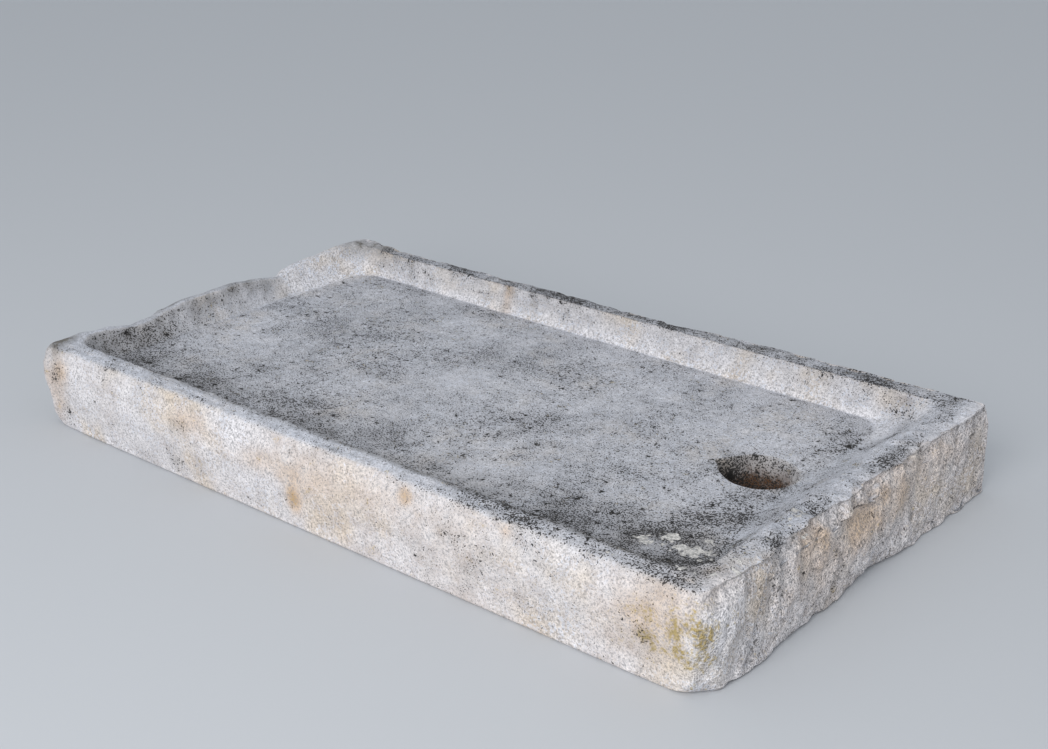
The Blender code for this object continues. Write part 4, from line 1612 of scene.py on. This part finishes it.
        # less film where the worn end is sound: partly painted highlight on its step, which faces the light
        film = film * (1 - self.patina_lost_at_lit_sound_corner * sound)
        on_walls = walls * self.film.over(stone, x, y, sheltered, sound)
        film = np.maximum(film, on_walls) * (1 - region[Region.BORE])
        film = film * (1 - self.patina_lost_in_highlight_band * region[Region.PAINTED_HIGHLIGHT_BAND])
        film = film * (1 - self.patina_and_painted_light_lost_chipped * region[Region.CHIPPED])
        ochre = self.ochre + self.ochre_further * ramp(x, *self.ochre_along)
        ochre = ochre + self.ochre_swing * region[Region.BROAD]
        at_corner = self.split_at_corner + (1 - self.split_at_corner) * stone.off_corner(y)
        cover = {
            WeatherAndPaintedLight.PATINA_AND_PAINTED_LIGHT: film,
            WeatherAndPaintedLight.GRIME_AND_PAINTED_SHADE: sum(weight * region[where] for where, weight in self.grime_and_painted_shade),
            WeatherAndPaintedLight.CRUST_AND_PAINTED_LIGHT: sum(weight * region[where] for where, weight in self.crust_and_painted_light),
            WeatherAndPaintedLight.OCHRE: ochre * (1 - self.ochre_hidden * flat) * (1 - self.ochre_hidden * walls),
            WeatherAndPaintedLight.YELLOW: np.zeros_like(x),
            WeatherAndPaintedLight.PALE: np.zeros_like(x),
            WeatherAndPaintedLight.RUST: region[Region.SUNK],
            WeatherAndPaintedLight.SPLIT: region[Region.END] * at_corner,
        }
        uneven = self.stain + self.stain_swing * region[Region.PATCH]
        for kind, stains in STAINS.items():
            cover[kind] = cover[kind] + sum(stain.cover(points) for stain in stains) * uneven
        return {kind: np.clip(amount, 0, 1) for kind, amount in cover.items()}

    def regions(
        self,
        stone: StoneBasin,
        points: np.ndarray,
        normals: np.ndarray,
        profile: np.ndarray,
        sound: np.ndarray,
    ) -> dict[Region, np.ndarray]:
        """Works out how far inside each region each point is.

        A region is a zone of the profile, cut down by where it lies along and across the stone and by which
        way it faces. The crevice, a painted shadow with dirt in it, is a bell curve of the distance to the
        foot of the front wall.

        Args:
            stone: The stone.
            points: The points.
            normals: Their outward directions.
            profile: Their places in the profile.
            sound: How sound the worn end is at each point.

        Returns:
            For each region, a number for each point.
        """
        x, y, z = points.T
        zones = (self.outside, self.inner_rim, self.walls, self.painted_highlight_band, self.floor, self.bore)
        outside, inner, walls, painted_highlight_band, floor, bore = (zone.share(profile) for zone in zones)
        top = (1 - outside) * (1 - walls) * (1 - floor) * (1 - bore)
        end = outside * ramp(normals[:, 0], *self.facing_out)
        broad, patch = self.broad.wave(points), self.patch.wave(points)
        sheltered = 1 - ramp(y, *self.sheltered_across)
        spreads = (self.dirt_and_painted_shade, self.wall_crust, self.rim_crust)
        dirt_and_painted_shade, wall_crust, rim_crust = (spread.over(stone, x, y, sheltered, sound) for spread in spreads)
        chipped = ramp(profile, *self.chipped.rises)
        chipped = chipped * (1 - ramp(profile + self.chip_waver * patch, *self.chipped.falls))
        foot_line = stone.batters.front + stone.rims.front + stone.runs.front
        # painted shadow, with dirt, on the floor along the foot of the front wall
        crevice_painted_shadow_and_dirt = np.exp(-(((y + stone.width / 2 - foot_line) / self.crevice_shadow_reach) ** 2)) * floor
        inner_rim = top * inner * stone.of_nearest(x, y, self.inner_sides)
        return {
            Region.OUTSIDE: outside,
            Region.END: end,
            # painted shade: more grime and crust in the split end's hollows, the deeper the darker
            Region.PAINTED_SHADE_IN_HOLLOWS: end * ramp(stone.splitting(points), *self.painted_shade_hollow_depths),
            Region.CHIPPED: chipped * stone.at_drain_end(x),
            Region.RIM: rim_crust * top,
            Region.INNER_RIM: inner_rim * ramp(x, *self.inner_along),
            Region.WALLS: wall_crust * walls,
            Region.DIRT_AND_PAINTED_SHADE_ON_WALLS: walls * dirt_and_painted_shade * (1 + self.dirt_and_painted_shade_swing * patch),
            Region.PAINTED_HIGHLIGHT_BAND: painted_highlight_band * ramp(y, *self.painted_highlight_band_across),
            Region.CREVICE_PAINTED_SHADOW_AND_DIRT: crevice_painted_shadow_and_dirt,
            Region.PATCHY_CREVICE_PAINTED_SHADOW_AND_DIRT: crevice_painted_shadow_and_dirt * patch,
            Region.FLOOR: floor,
            Region.BORE: bore,
            Region.SUNK: bore * ramp(stone.rim_level - stone.basin_depth - z, *self.sunk_depths),
            Region.PATCH: patch,
            Region.INNER_PATCH: (floor + walls) * patch,
            Region.BROAD: broad,
        }


@dataclass(frozen=True)
class Studio:
    """A plain pale floor, soft light from the front right, and a camera where the photograph was taken."""

    floor_colour: str = "#C9CBCE"
    floor_roughness: float = 0.7
    floor_half: float = 6.0
    key_place: Triple = (1.0, -3.2, 1.9)
    key_width: float = 2.2
    key_power: float = 83.5
    fill_strength: float = 0.68
    fill_colour: str = "#E9EFF6"

    def floor(self) -> bpy.types.Object:
        """Makes the floor, one flat face under the stone.

        Returns:
            The floor.
        """
        half = self.floor_half
        mesh = bpy.data.meshes.new("studio_floor")
        corners = [(-half, -half, 0), (half, -half, 0), (half, half, 0), (-half, half, 0)]
        mesh.from_pydata(corners, [], [(0, 1, 2, 3)])
        made = bpy.data.materials.new("painted_floor")
        made.use_nodes = True
        shader = made.node_tree.nodes["Principled BSDF"]
        shader.inputs["Base Color"].default_value = linear(self.floor_colour)
        shader.inputs["Roughness"].default_value = self.floor_roughness
        mesh.materials.append(made)
        ground = bpy.data.objects.new("studio_floor", mesh)
        bpy.context.scene.collection.objects.link(ground)
        return ground

    def light(self) -> None:
        """Adds a broad soft key light, high in front and to the right, and an even fill from all round."""
        lamp = bpy.data.lights.new("key", "AREA")
        lamp.size = self.key_width
        lamp.energy = self.key_power
        key = bpy.data.objects.new("key", lamp)
        key.location = self.key_place
        key.rotation_euler = (-key.location).to_track_quat("-Z", "Y").to_euler()
        bpy.context.scene.collection.objects.link(key)
        world = bpy.data.worlds.new("studio")
        world.use_nodes = True
        sky = world.node_tree.nodes["Background"]
        sky.inputs["Color"].default_value = linear(self.fill_colour)
        sky.inputs["Strength"].default_value = self.fill_strength
        bpy.context.scene.world = world

    def camera(self) -> None:
        """Adds the camera, with the photograph's place, turn and focal length."""
        lens = bpy.data.cameras.new("camera")
        lens.sensor_width = SENSOR_WIDTH_MM
        lens.lens = FOCAL_PIXELS * SENSOR_WIDTH_MM / PICTURE_WIDTH
        camera = bpy.data.objects.new("camera", lens)
        camera.location = CAMERA_PLACE
        camera.rotation_euler = CAMERA_TURN
        bpy.context.scene.collection.objects.link(camera)
        bpy.context.scene.camera = camera


def main() -> None:
    """Builds the stone and the studio."""
    logging.basicConfig(level=logging.INFO)
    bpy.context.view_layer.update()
    low, high = (tuple(corner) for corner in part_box(FRAME_NODE))
    basin = StoneBasin(length=high[0] - low[0], width=high[1] - low[1], low=low, high=high)
    stone = basin.build(WeatheringAndPaintedLight())
    basin.dress(stone, Limestone())
    LOG.info("%s: %d points, %d faces", stone.name, len(stone.data.vertices), len(stone.data.polygons))
    studio = Studio()
    studio.floor()
    studio.light()
    studio.camera()
    LOG.info("studio: floor, key light, fill and camera")
    bpy.context.scene.view_settings.view_transform = "Standard"


if __name__ == "__main__":
    main()
